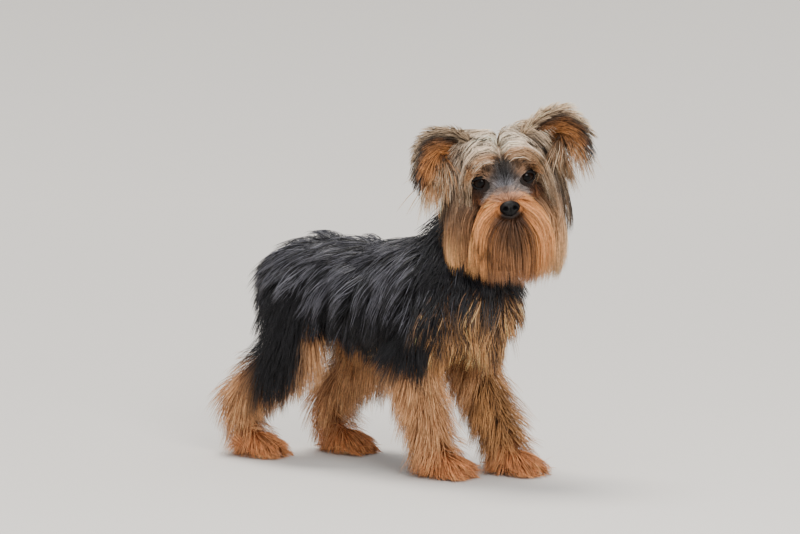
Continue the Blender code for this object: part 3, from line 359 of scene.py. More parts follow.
def ear_frame(side, count):
    """The ear's middle line, its half widths, and its directions along, across and out of its front."""
    rows = resampled([(*place, half, 0, 0) for *place, half in EAR_LINE[side]], count)
    spine = in_head(rows[:, :3])
    along = unit(np.gradient(spine, axis=0))
    facing = np.array([0.40 * side, 0.90, 0.10]) @ HEAD_AXES
    across = unit(np.cross(facing, along))
    return spine, rows[:, 3], along, across, np.cross(along, across)


def on_ear_leaf(side, points):
    """How far along the ear points are (0 to 1), how far across it from its lower edge (-1) to its upper one
    (1), and whether they are on its inner face (1) or its back (0)."""
    spine, half, _, across, out = ear_frame(side, EAR_STATIONS)
    near = np.linalg.norm(points[:, None] - spine, axis=2).argmin(axis=1)
    offset = points - spine[near]
    share = dot(offset, across[near])[:, 0] / half[near]
    raised = dot(offset, out[near])[:, 0] - EAR_CUP * half[near] * share**2
    upper = 1.0 if across[EAR_MIDDLE] @ HEAD_AXES[2] > 0 else -1.0
    return near / (EAR_STATIONS - 1), np.clip(share * upper, -1, 1), ease(-0.0005, 0.0005, raised)


def ear(side, rows=24, columns=17):
    """The ear's cup: at share s across, the leaf lies s half widths from its middle line and its edges come
    forward by EAR_CUP s^2 half widths. It is EAR_THICK through, and thinner towards its edges."""
    spine, half, along, across, out = ear_frame(side, rows)
    share = np.linspace(-1, 1, columns)
    sheet = spine[:, None] + across[:, None] * (half[:, None] * share)[..., None]
    sheet = sheet + out[:, None] * (EAR_CUP * half[:, None] * share**2)[..., None]
    thick = out[:, None] * (EAR_THICK / 2 * (1 - 0.45 * share**2))[None, :, None]
    grid = np.concatenate([sheet + thick, (sheet - thick)[:, ::-1]], axis=1)
    poles = np.array([spine[0] - along[0] * 0.001, spine[-1] + along[-1] * 0.003])
    return closed_grid(grid, poles)


def new_object(name, data):
    """An object of some data, in the scene at the origin."""
    made = bpy.data.objects.new(name, data)
    bpy.context.scene.collection.objects.link(made)
    return made


def new_mesh(name, points, faces):
    """An object at the origin from points and faces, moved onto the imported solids."""
    mesh = bpy.data.meshes.new(name)
    mesh.from_pydata((np.asarray(points) + SHIFT).tolist(), [], faces)
    mesh.shade_smooth()
    return new_object(name, mesh)


def give_colours(mesh, name, colours):
    """A colour attribute at the mesh's points, from rows of red, green and blue."""
    shade = mesh.color_attributes.new(name, "FLOAT_COLOR", "POINT")
    rgba = np.column_stack([colours.reshape(-1, 3), np.ones(len(mesh.vertices))])
    shade.data.foreach_set("color", rgba.astype(np.float32).ravel())


def joined(meshes):
    """Several meshes as one list of points and faces."""
    points, faces, start = [], [], 0
    for own, own_faces in meshes:
        points.append(own)
        faces += [[corner + start for corner in face] for face in own_faces]
        start += len(own)
    return np.vstack(points), faces


def read(rows, attribute, width, kind=np.float32):
    """An attribute of a mesh's points, edges or triangles, as an array with so many columns."""
    flat = np.empty(len(rows) * width, kind)
    rows.foreach_get(attribute, flat)
    return flat.reshape(-1, width)


def read_points(mesh):
    """A mesh's points as an array, back in the dog's own place."""
    return read(mesh.vertices, "co", 3).astype(float) - SHIFT


def relaxed(points, edges, times, weight):
    """Each point moved towards the mean of its neighbours by its weight, several times over."""
    count = np.maximum(np.bincount(edges.ravel(), minlength=len(points)), 1)[:, None]
    for _ in range(times):
        total = np.zeros_like(points)
        for axis in range(3):
            total[:, axis] = np.bincount(edges[:, 0], points[edges[:, 1], axis], len(points))
            total[:, axis] += np.bincount(edges[:, 1], points[edges[:, 0], axis], len(points))
        points = points + (total / count - points) * weight
    return points


def sunk_eyes(points):
    """The skin round each eye drops behind the ball inside the lids' opening, and stands a lid's thickness
    over it outside. Under the nose the skin stays behind the nose's middle."""
    for side in (-1, 1):
        local = (points - eye_centre(side)) @ eye_axes(side).T
        reach = np.linalg.norm(local, axis=1)
        high = local[:, 2] - LID_SLANT * side * local[:, 0]
        inside = np.hypot(local[:, 0] / LID_HALF, high / np.where(high > 0, LID_ABOVE, LID_BELOW)) < 1.0
        front = (local[:, 1] > 0) & (reach < EYE_RADIUS + 0.0045)
        sunk, raised = np.minimum(reach, EYE_RADIUS - EYE_GAP), np.maximum(reach, EYE_RADIUS + LID_THICK)
        wanted = np.where(inside, sunk, raised)
        scale = np.where(front, wanted / np.maximum(reach, 1e-6), 1.0)[:, None]
        points = points + ((local * scale - local) @ eye_axes(side))
    local = to_head(points)
    behind = np.hypot(local[:, 0] / NOSE_HALF[0], (local[:, 2] - NOSE_AT[2]) / NOSE_HALF[2]) < 0.9
    local[:, 1] = np.where(behind, np.minimum(local[:, 1], NOSE_AT[1] - 0.0005), local[:, 1])
    return in_head(local)


def make_skin():
    """One skin over the whole body: overlapping limbs, remeshed as one surface and smoothed, ears less."""
    meshes = [loft(sections, axis) for sections, axis in LIMBS.values()]
    for (left, forward, up), half in FLESH:
        for side in (1, -1) if left else (1,):
            meshes.append(ball(in_head((side * left, forward, up)), np.array(half), HEAD_AXES))
    meshes += [ear(1), ear(-1)]
    made = new_mesh("skin", *joined(meshes))
    remesh = made.modifiers.new("one_surface", "REMESH")
    remesh.mode = "VOXEL"
    remesh.voxel_size = SKIN_VOXEL
    bpy.context.view_layer.update()
    whole = bpy.data.meshes.new_from_object(made.evaluated_get(bpy.context.evaluated_depsgraph_get()))
    made.modifiers.clear()
    made.data = whole
    points = read_points(whole)
    edges = read(whole.edges, "vertices", 2, np.int32)
    local = to_head(points)
    aside = np.abs(local[:, 0])
    on_ear = ease(0.030, 0.036, aside) * ease(0.010, 0.020, local[:, 2] + 0.3 * aside)
    points = relaxed(points, edges, 14, (0.55 - 0.40 * on_ear)[:, None])
    points = sunk_eyes(points)
    points = np.column_stack([points[:, :2], np.maximum(points[:, 2], FLOOR_GAP[0])])
    whole.vertices.foreach_set("co", (points + SHIFT).astype(np.float32).ravel())
    whole.update()
    return made


def limb_lines():
    """For every limb, rows of middle, sideways axis, up axis, half width and half height along it."""
    lines = {}
    for name, (sections, axis) in LIMBS.items():
        rows = resampled(sections, 40)
        _, side, up = spine_axes(rows[:, :3], axis)
        lines[name] = (rows[:, :3], side, up, rows[:, 3], rows[:, 4:].mean(axis=1))
    for side, name in ((1, "ear_left"), (-1, "ear_right")):
        spine, half, _, across, out = (part[EAR_ROOT:] for part in ear_frame(side, EAR_STATIONS))
        lines[name] = (spine, across, out, half, np.full(len(spine), EAR_THICK))
    return lines


def placed(points, lines):
    """For each point: the limb nearest to it as a share of the limb's size, how far along that limb it is
    (0 to 1) and the angle round it."""
    best = np.full(len(points), np.inf)
    limb = np.zeros(len(points), int)
    along = np.zeros(len(points))
    turn = np.zeros(len(points))
    for number, (name, (middle, side, up, wide, high)) in enumerate(lines.items()):
        away = np.linalg.norm(points[:, None] - middle, axis=2)
        size = wide if name.startswith("ear") else (wide + high) / 2
        share = away / size
        near = share.argmin(axis=1)
        least = share[np.arange(len(points)), near]
        better = least < best
        offset = points - middle[near]
        across, above = dot(offset, side[near])[:, 0] / wide[near], dot(offset, up[near])[:, 0] / high[near]
        best = np.where(better, least, best)
        limb = np.where(better, number, limb)
        along = np.where(better, near / (len(middle) - 1), along)
        turn = np.where(better, np.arctan2(above, across), turn)
    return limb, along, turn


# How the coat of the trunk is combed, in mm and mirrored on the right: a place (left, back, up), the way the
# hair lies there, its length, and how high its upper layers stand over the skin.
TRUNK_COMB = [
    ((0, -70, 206), (0.45, 0.90, -0.15), 50, 12),  # withers
    ((0, 20, 199), (0.45, 0.90, -0.15), 52, 12),  # loin
    ((0, 95, 192), (0.30, 0.80, -0.45), 50, 12),  # croup
    ((0, 118, 165), (0.15, 0.55, -1.00), 50, 14),  # rump
    ((26, 112, 140), (0.20, 0.50, -1.00), 52, 14),
    ((43, -50, 170), (0.10, 0.40, -0.90), 58, 14),  # ribs
    ((42, 0, 165), (0.10, 0.50, -0.85), 58, 14),
    ((36, 60, 170), (0.10, 0.55, -0.80), 56, 14),  # flank
    ((40, 90, 150), (0.15, 0.45, -0.95), 52, 14),  # thigh
    ((40, -20, 125), (0.10, 0.25, -1.00), 40, 12),
    ((34, 40, 135), (0.10, 0.30, -1.00), 42, 12),
    ((0, 0, 112), (0.15, 0.30, -0.90), 42, 8),  # belly
    ((0, 60, 128), (0.15, 0.30, -0.90), 50, 9),
    ((0, -80, 106), (0.15, 0.10, -1.00), 38, 9),  # brisket
    ((0, -116, 160), (0.25, -0.20, -1.00), 60, 17),  # front of the chest
    ((0, -112, 190), (0.25, -0.30, -1.00), 38, 17),
    ((36, -92, 165), (0.25, 0.00, -1.00), 58, 17),  # shoulder
    ((30, -90, 205), (0.35, 0.30, -0.90), 50, 14),
    ((0, -95, 232), (0.30, 0.60, -0.70), 46, 14),  # nape
    ((6, -120, 215), (0.30, -0.10, -1.00), 34, 12),  # throat
]
# The same for the head, in its own axes (left, forward, up).
HEAD_COMB = [
    ((0, 55, -7), (0.25, -0.70, 0.35), 4, 1),  # bridge of the nose
    ((0, 44, -3), (0.35, -0.60, 0.45), 6, 2),
    ((0, 35, 1), (0.25, -0.10, 0.80), 7, 2),
    ((0, 27, 10), (0.15, 0.45, 0.85), 9, 3),  # between the eyes
    ((7, 26, 13), (0.45, 0.40, 0.75), 15, 4),
    ((0, 20, 21), (0.95, 0.10, 0.35), 54, 8),  # forehead
    ((13, 20, 20), (0.92, 0.20, 0.25), 54, 8),
    ((19, 24, 11), (0.75, 0.45, 0.35), 11, 3),  # brow
    ((26, 19, 9), (0.85, 0.25, -0.25), 15, 3),
    ((30, 9, 13), (0.70, 0.25, -0.65), 82, 12),  # temple
    ((6, 4, 28), (0.95, 0.12, 0.30), 88, 13),  # crown
    ((8, -8, 29), (0.95, 0.05, 0.20), 84, 14),
    ((24, -1, 24), (0.88, 0.25, -0.30), 84, 14),
    ((12, -16, 28), (0.90, -0.15, 0.45), 52, 12),
    ((23, -14, 25), (0.88, -0.20, 0.50), 44, 11),
    ((8, -26, 22), (0.60, -0.60, 0.00), 40, 10),
    ((6, -34, 4), (0.30, -0.70, -0.60), 44, 10),  # occiput
    ((31, 0, -2), (0.38, 0.15, -0.92), 92, 12),  # cheek
    ((28, 4, -16), (0.28, 0.15, -0.96), 92, 16),
    ((20, 27, -7), (0.60, 0.10, -0.80), 8, 2),  # under the eye
    ((26, 19, -6), (0.55, 0.05, -0.85), 15, 4),
    ((11, 32, -2), (0.60, 0.20, -0.60), 6, 2),  # inner corner of the eye
    ((7, 48, -5), (0.80, 0.00, 0.10), 9, 2),  # top of the muzzle
    ((14, 42, -10), (0.95, 0.05, -0.25), 36, 8),  # side of the muzzle
    ((10, 54, -12), (0.95, 0.25, -0.25), 34, 7),
    ((13, 50, -20), (0.80, 0.20, -0.55), 42, 9),  # lip
    ((5, 57, -22), (0.75, 0.40, -0.55), 24, 3),
    ((0, 54, -28), (0.10, 0.40, -1.00), 60, 8),  # chin
    ((0, 40, -30), (0.10, 0.20, -1.00), 84, 10),
    ((16, 20, -27), (0.25, 0.10, -1.00), 90, 18),  # jaw
    ((10, -6, -28), (0.15, 0.00, -1.00), 80, 18),  # throat
]


def mark_weights(marks, local, power, least):
    """How much each mark counts at points, folded onto the left half: 1/(distance^power + least)."""
    places = np.array([mark[0] for mark in marks], float) / 1000
    folded = np.column_stack([np.abs(local[:, 0]), local[:, 1:]])
    weight = 1 / (np.linalg.norm(folded[:, None] - places, axis=2) ** power + least)
    return weight / weight.sum(axis=1, keepdims=True)


def combed(comb, local):
    """The way, length and height of the hair at points: weighted means of the comb's marks."""
    weight = mark_weights(comb, local, 4, 1e-10)
    way = weight @ unit([mark[1] for mark in comb])
    way[:, :1] *= np.where(local[:, :1] < 0, -1.0, 1.0) * ease(0, 0.001, np.abs(local[:, :1]))
    return unit(way), weight @ (np.array([mark[2:] for mark in comb], float) / 1000)


# Colours of the coat, as linear red, green and blue, from the hair's root to its tip.
JET = ((0.0030, 0.0028, 0.0036), (0.0085, 0.0085, 0.0115))
# Slate grey-blue hairs: partly the coat's own grey, partly a painted sheen.
SLATE_AND_SHEEN = ((0.014, 0.015, 0.019), (0.150, 0.150, 0.180))
SANDY = ((0.300, 0.120, 0.045), (0.740, 0.400, 0.190))
COPPER = ((0.340, 0.105, 0.033), (0.800, 0.350, 0.145))
FLAXEN = ((0.085, 0.034, 0.013), (0.620, 0.310, 0.120))
# Markings of the head: a place in mm in its own axes, and the colour at the hair's root and tip.
HEAD_MARKS = [
    ((0, 54, -6), (0.240, 0.105, 0.050), (0.560, 0.290, 0.170)),  # bridge of the nose
    ((0, 47, -3), (0.150, 0.105, 0.090), (0.400, 0.290, 0.240)),
    ((9, 41, -3), (0.090, 0.080, 0.080), (0.280, 0.240, 0.225)),
    ((0, 38, 0), (0.080, 0.080, 0.090), (0.300, 0.295, 0.320)),
    ((0, 35, 2), (0.014, 0.014, 0.015), (0.060, 0.059, 0.063)),
    ((0, 33, 4), (0.004, 0.004, 0.004), (0.016, 0.015, 0.016)),
    ((4, 32, 4), (0.004, 0.004, 0.004), (0.016, 0.014, 0.014)),
    ((9, 34, 1), (0.070, 0.060, 0.056), (0.240, 0.205, 0.195)),
    ((0, 30, 8), (0.002, 0.002, 0.002), (0.008, 0.007, 0.007)),  # between the eyes
    ((4, 29, 9), (0.002, 0.002, 0.002), (0.008, 0.007, 0.006)),
    ((0, 25, 14), (0.002, 0.002, 0.002), (0.008, 0.007, 0.006)),
    ((4, 25, 14), (0.003, 0.003, 0.003), (0.012, 0.009, 0.007)),
    ((8, 30, 7), (0.150, 0.075, 0.036), (0.420, 0.230, 0.120)),
    ((9, 26, 12), (0.160, 0.075, 0.034), (0.460, 0.250, 0.130)),
    ((20, 24, 12), (0.130, 0.055, 0.022), (0.420, 0.215, 0.095)),  # brow
    ((27, 19, 8), (0.100, 0.040, 0.017), (0.360, 0.170, 0.075)),
    ((0, 20, 22), (0.360, 0.235, 0.145), (0.760, 0.560, 0.380)),  # forehead
    ((12, 17, 23), (0.300, 0.195, 0.120), (0.700, 0.500, 0.330)),
    # Light roots and darker tips on the crown: its own beige with painted light on top and painted shade
    # lower down.
    ((0, 8, 28), (0.600, 0.430, 0.300), (0.560, 0.400, 0.270)),  # crown
    ((0, -4, 29), (0.700, 0.520, 0.370), (0.420, 0.290, 0.190)),
    ((14, -5, 28), (0.420, 0.290, 0.190), (0.340, 0.225, 0.145)),
    ((26, 10, 16), (0.240, 0.150, 0.090), (0.480, 0.310, 0.190)),
    ((30, 6, 8), (0.100, 0.060, 0.036), (0.420, 0.250, 0.140)),  # temple
    ((31, -8, 4), (0.020, 0.014, 0.011), (0.110, 0.070, 0.045)),
    ((8, -24, 22), (0.050, 0.038, 0.030), (0.300, 0.230, 0.180)),
    ((6, -34, 4), (0.012, 0.011, 0.011), (0.060, 0.052, 0.048)),  # occiput
    ((31, 0, -2), (0.180, 0.075, 0.028), (0.780, 0.430, 0.210)),  # cheek
    ((28, 4, -16), (0.300, 0.115, 0.036), (0.900, 0.490, 0.220)),
    ((20, 27, -8), (0.110, 0.036, 0.015), (0.400, 0.160, 0.066)),  # under the eye
    ((27, 17, -6), (0.080, 0.030, 0.013), (0.320, 0.130, 0.054)),
    ((12, 34, -5), (0.140, 0.065, 0.036), (0.420, 0.230, 0.140)),
    ((9, 46, -8), (0.400, 0.150, 0.045), (0.820, 0.380, 0.150)),  # top of the muzzle
    ((14, 42, -11), (0.440, 0.160, 0.045), (0.900, 0.410, 0.155)),
    ((10, 54, -13), (0.440, 0.160, 0.045), (0.900, 0.420, 0.165)),
    ((13, 48, -19), (0.340, 0.130, 0.040), (0.860, 0.410, 0.170)),  # lip
    ((0, 60, -20), (0.010, 0.009, 0.009), (0.040, 0.034, 0.032)),
    ((4, 59, -21), (0.012, 0.009, 0.008), (0.060, 0.042, 0.034)),
    ((4, 58, -24), (0.030, 0.013, 0.007), (0.160, 0.070, 0.032)),
    # Dark brown marks on the chin: painted shade beneath the muzzle, over the beard's own tan.
    ((0, 54, -28), (0.030, 0.012, 0.006), (0.200, 0.085, 0.036)),  # chin
    ((0, 40, -30), (0.050, 0.020, 0.009), (0.360, 0.155, 0.064)),
    ((8, 46, -28), (0.022, 0.008, 0.004), (0.130, 0.048, 0.019)),
    ((16, 20, -27), (0.260, 0.100, 0.034), (0.900, 0.470, 0.205)),  # jaw
    ((10, -6, -28), (0.080, 0.036, 0.018), (0.420, 0.220, 0.110)),  # throat
]
# The ear's inside in bands from its lower edge (-1) to its upper one (1), and its back.
EAR_BANDS = [
    (-1.00, (0.050, 0.028, 0.017), (0.460, 0.290, 0.150)),
    (-0.55, (0.120, 0.045, 0.016), (0.640, 0.290, 0.105)),
    (-0.10, (0.110, 0.036, 0.011), (0.640, 0.265, 0.085)),
    (0.30, (0.040, 0.016, 0.008), (0.300, 0.130, 0.050)),
    (0.55, (0.016, 0.012, 0.010), (0.090, 0.062, 0.045)),
    (0.80, (0.220, 0.145, 0.090), (0.940, 0.700, 0.470)),
]
EAR_BACK = ((0.180, 0.115, 0.070), (0.860, 0.630, 0.420))
EAR_TIP = ((0.008, 0.008, 0.008), (0.080, 0.072, 0.070))


def blended(marks, local):
    """Root and tip colours at points: weighted means of the marks."""
    colours = np.array([mark[1:] for mark in marks], float).reshape(len(marks), 6)
    return (mark_weights(marks, local, 6, 1e-15) @ colours).reshape(-1, 2, 3)


def ripple(points, scale, seed):
    """A smooth noise between about -1 and 1: a sum of sine waves in five directions that the seed fixes."""
    chance = np.random.default_rng(seed)
    total = np.zeros(len(points))
    for _ in range(5):
        way = unit(chance.normal(size=3)) * scale * chance.uniform(0.6, 1.6)
        total += np.sin(points @ way * 2 * math.pi + chance.uniform(0, 6.3))
    return total / 2.6


def coat_colours(points, limb_names, turn):
    """Root and tip colours of the hair at skin points, from the markings: a black saddle from the neck to
    the rump and down the outer thighs, tan legs and chest, and the head's own marks. The second array says
    how tan the body is there, from 0 to 1."""
    x, y, z = points.T
    # The tan of the chest and of the belly, each with an uneven edge.
    front = ease(-0.074, -0.090, y) * ease(0.175, 0.165, z + 0.006 * ripple(points, 45, 1))
    under = ease(0.122, 0.110, z - 0.10 * np.maximum(y, 0) + 0.004 * ripple(points, 40, 2))
    is_leg = np.array([name.startswith(("foreleg", "hindleg")) for name in limb_names])
    is_fore = np.array([name.startswith("fore") for name in limb_names])
    is_foot = np.array(["foot" in name for name in limb_names])
    is_trunk = np.isin(limb_names, ["torso", "neck", "tail"])
    # The black of the upper legs, further down on the outside and at the back.
    outer, ahead = np.cos(turn) * np.where(x < 0, -1.0, 1.0), np.sin(turn)
    high_fore = ease(0.105, 0.118, z) * ease(-0.1, 0.4, outer - 0.8 * ahead)
    high_hind = ease(0.070, 0.090, z + 0.02 * ahead) * ease(-0.25, 0.25, outer - 0.7 * ahead)
    tan = np.where(is_trunk, np.maximum(front, under), 0.0)
    tan = np.where(is_leg, 1 - np.where(is_fore, high_fore, high_hind), tan)
    tan = np.where(is_foot, 1.0, tan)
    black = np.array(JET)[None] * np.ones((len(points), 1, 1))
    light = np.where(front[:, None, None] > 0.5, np.array(FLAXEN)[None], np.array(SANDY)[None])
    light = np.where(is_foot[:, None, None], np.array(COPPER)[None], light)
    low = (is_leg * ease(0.045, 0.020, z))[:, None, None]
    light = light * (1 - low) + np.array(COPPER)[None] * low
    colours = black * (1 - tan[:, None, None]) + light * tan[:, None, None]
    on_head = limb_names == "head"
    local = to_head(points[on_head])
    # Dark rims round the eyes.
    rim = np.hypot(np.abs(local[:, 0]) - EYE_AT[0] - 0.0006, (local[:, 2] - EYE_AT[2]) * 1.25)
    rim = ease(0.0112, 0.0080, rim) * (local[:, 1] > 0.010)
    colours[on_head] = blended(HEAD_MARKS, local) * (1 - 0.85 * rim)[:, None, None]
    edges = [mark[0] for mark in EAR_BANDS]
    bands = np.array([mark[1:] for mark in EAR_BANDS]).reshape(len(EAR_BANDS), 6)
    tip = np.array(EAR_TIP).reshape(1, 6)
    for side, name in ((1, "ear_left"), (-1, "ear_right")):
        own = limb_names == name
        far, edge, inner = on_ear_leaf(side, points[own])
        inside = np.stack([np.interp(edge, edges, band) for band in bands.T], axis=1)
        shade = inside * inner[:, None] + np.array(EAR_BACK).reshape(1, 6) * (1 - inner[:, None])
        # The upper band of the right ear is darkened as painted shade, on the side away from the light; the
        # lower half of the left ear is darker as well.
        shade = shade * np.where((side < 0) & (edge > 0.5), 0.55, 1.0)[:, None]
        shade = shade * np.where((side > 0) & (edge < 0.5), 0.75, 1.0)[:, None]
        dark = (ease(0.70, 0.95, far) * ease(-0.6, 0.2, edge))[:, None]
        colours[own] = (shade * (1 - dark) + tip * dark).reshape(-1, 2, 3)
    return colours, tan


def surface_of(mesh):
    """A mesh's points, its triangles' corners and areas, and the normals at its points."""
    mesh.calc_loop_triangles()
    corners = read(mesh.loop_triangles, "vertices", 3, np.int32)
    normals = read(mesh.vertex_normals, "vector", 3).astype(float)
    points = read_points(mesh)
    a, b, c = points[corners[:, 0]], points[corners[:, 1]], points[corners[:, 2]]
    area = np.linalg.norm(np.cross(b - a, c - a), axis=1) / 2
    return points, corners, area, normals


def nearest(tree, points):
    """The nearest place on the skin to each point, and the outward normal there."""
    found = [tree.find_nearest(Vector(point)) for point in points]
    return np.array([hit[0] for hit in found]), np.array([hit[1] for hit in found])


def strewn(surface, weights, count, chance):
    """Roots on the skin: count even steps along the running sum of the triangles' weighted areas, each at a
    random place in the triangle that it falls in."""
    points, corners, area, normals = surface
    running = np.cumsum(area * weights)
    at = (np.arange(count) + chance.random(count)) / count * running[-1]
    triangle = np.searchsorted(running, at)
    first, second = np.sqrt(chance.random(count))[:, None], chance.random(count)[:, None]
    share = np.hstack([1 - first, first * (1 - second), first * second])[..., None]
    root = (points[corners[triangle]] * share).sum(axis=1)
    return root, unit((normals[corners[triangle]] * share).sum(axis=1))


# Ellipses before the face that hair goes round, in the head's axes: left, up, half sizes, and how far forward
# they begin.
EYE_WINDOW = (EYE_AT[2] + 0.0004, LID_HALF + 0.0002, LID_ABOVE + 0.0007, 0.012)
WINDOWS = [
    (EYE_AT[0] + 0.0009, *EYE_WINDOW),
    (-EYE_AT[0] - 0.0009, *EYE_WINDOW),
    (0.0, NOSE_AT[2] - 0.0010, 0.0104, 0.0082, 0.040),
]
WINDOW_CORE = 0.84  # no hair crosses this share of a window
WINDOW_BARE = 0.92  # and none grows in this share of it


def in_window(local, window, size):
    """How far points given in the head's axes are from a window's middle, as a share of its half sizes, and
    whether they lie inside it."""
    left, up, wide, high, begins = window
    away = np.hypot((local[..., 0] - left) / (wide * size), (local[..., 2] - up) / (high * size))
    return away, (away < 1) & (local[..., 1] > begins)


def kept_clear(points):
    """Points moved sideways and up or down out of the windows before eyes and nose, and up off the floor."""
    local = to_head(points)
    for window in WINDOWS:
        away, inside = in_window(local, window, 1.0)
        scale = np.where(inside, 1 / np.maximum(away, 0.05), 1.0)
        local[:, 0] = window[0] + (local[:, 0] - window[0]) * scale
        local[:, 2] = window[1] + (local[:, 2] - window[1]) * scale
    points = in_head(local)
    return np.column_stack([points[:, :2], np.maximum(points[:, 2], FLOOR_GAP[1])])


def crossing(line):
    """Whether each hair's line still crosses the middle of a window."""
    between = np.concatenate([line[:, :-1] * (1 - t) + line[:, 1:] * t for t in (0, 0.33, 0.67)], axis=1)
    local = to_head(between.reshape(-1, 3)).reshape(between.shape)
    crossed = [in_window(local, window, WINDOW_CORE)[1].any(axis=1) for window in WINDOWS]
    return np.any(crossed, axis=0)


# Colours of the head's long hair at its root, middle and tip, by its place.
GUIDE_COLOURS = {
    # The crown's hair runs from near white at its roots on top of the head to dark at its hanging ends: its
    # own beige with painted light on top and painted shade lower down.
    "parting": ((0.95, 0.82, 0.66), (0.92, 0.77, 0.60), (0.30, 0.21, 0.15)),
    "brow": ((0.24, 0.11, 0.042), (0.40, 0.22, 0.10), (0.50, 0.36, 0.24)),
    "forehead": ((0.88, 0.72, 0.55), (0.74, 0.58, 0.43), (0.34, 0.24, 0.17)),
    "crown": ((0.95, 0.82, 0.66), (0.70, 0.55, 0.41), (0.24, 0.17, 0.12)),
    "crown back": ((0.95, 0.82, 0.66), (0.58, 0.44, 0.32), (0.18, 0.12, 0.088)),
    "crown far back": ((0.92, 0.78, 0.60), (0.85, 0.69, 0.52), (0.45, 0.33, 0.23)),
    "over the ear": ((0.88, 0.72, 0.54), (0.82, 0.64, 0.46), (0.42, 0.30, 0.21)),
    "side of the crown": ((0.42, 0.30, 0.20), (0.24, 0.17, 0.12), (0.16, 0.11, 0.078)),
    "over the brow": ((0.44, 0.29, 0.17), (0.48, 0.34, 0.23), (0.40, 0.29, 0.21)),
    "end of the brow": ((0.22, 0.11, 0.05), (0.40, 0.26, 0.15), (0.48, 0.36, 0.26)),
    "before the right ear": ((0.12, 0.065, 0.035), (0.30, 0.16, 0.08), (0.16, 0.08, 0.042)),
    "before the left ear": ((0.02, 0.015, 0.012), (0.04, 0.03, 0.024), (0.055, 0.042, 0.036)),
    "on the left ear": ((0.60, 0.42, 0.27), (0.80, 0.60, 0.41), (0.72, 0.50, 0.31)),
    "right temple": ((0.06, 0.04, 0.028), (0.085, 0.055, 0.038), (0.34, 0.18, 0.09)),
    "left temple": ((0.11, 0.07, 0.045), (0.17, 0.11, 0.072), (0.50, 0.27, 0.14)),
    "behind the temple": ((0.012, 0.009, 0.008), (0.016, 0.012, 0.01), (0.045, 0.03, 0.022)),
    # The right cheek, lower cheek and jaw are darker copies of the left ones: painted shade on the right
    # side, away from the light, and painted light on the left.
    "shaded right cheek": ((0.05, 0.024, 0.012), (0.08, 0.042, 0.024), (0.66, 0.35, 0.16)),
    "lit left cheek": ((0.16, 0.085, 0.045), (0.50, 0.31, 0.18), (0.92, 0.62, 0.38)),
    "shaded right lower cheek": ((0.10, 0.042, 0.018), (0.16, 0.075, 0.034), (0.76, 0.40, 0.17)),
    "lit left lower cheek": ((0.22, 0.095, 0.04), (0.56, 0.30, 0.14), (0.92, 0.57, 0.31)),
    "shaded right jaw": ((0.12, 0.048, 0.018), (0.28, 0.12, 0.046), (0.82, 0.41, 0.17)),
    "lit left jaw": ((0.22, 0.085, 0.03), (0.56, 0.26, 0.10), (0.92, 0.52, 0.25)),
    "throat": ((0.04, 0.016, 0.008), (0.14, 0.06, 0.028), (0.46, 0.23, 0.11)),
    "side of the muzzle": ((0.44, 0.16, 0.045), (0.84, 0.38, 0.14), (0.90, 0.45, 0.19)),
    "beside the nose": ((0.48, 0.18, 0.055), (0.84, 0.38, 0.15), (0.84, 0.40, 0.16)),
    "lip": ((0.36, 0.13, 0.04), (0.66, 0.28, 0.10), (0.74, 0.34, 0.13)),
    "under the nose": ((0.03, 0.013, 0.007), (0.055, 0.021, 0.009), (0.16, 0.065, 0.028)),
    # Dark brown on the chin and under it: painted shade beneath the muzzle, over the beard's own tan.
    "side of the chin": ((0.012, 0.006, 0.004), (0.034, 0.013, 0.006), (0.18, 0.072, 0.03)),
    "chin": ((0.06, 0.026, 0.012), (0.10, 0.045, 0.019), (0.42, 0.19, 0.082)),
    "under the chin": ((0.026, 0.011, 0.005), (0.075, 0.031, 0.013), (0.42, 0.19, 0.082)),
}
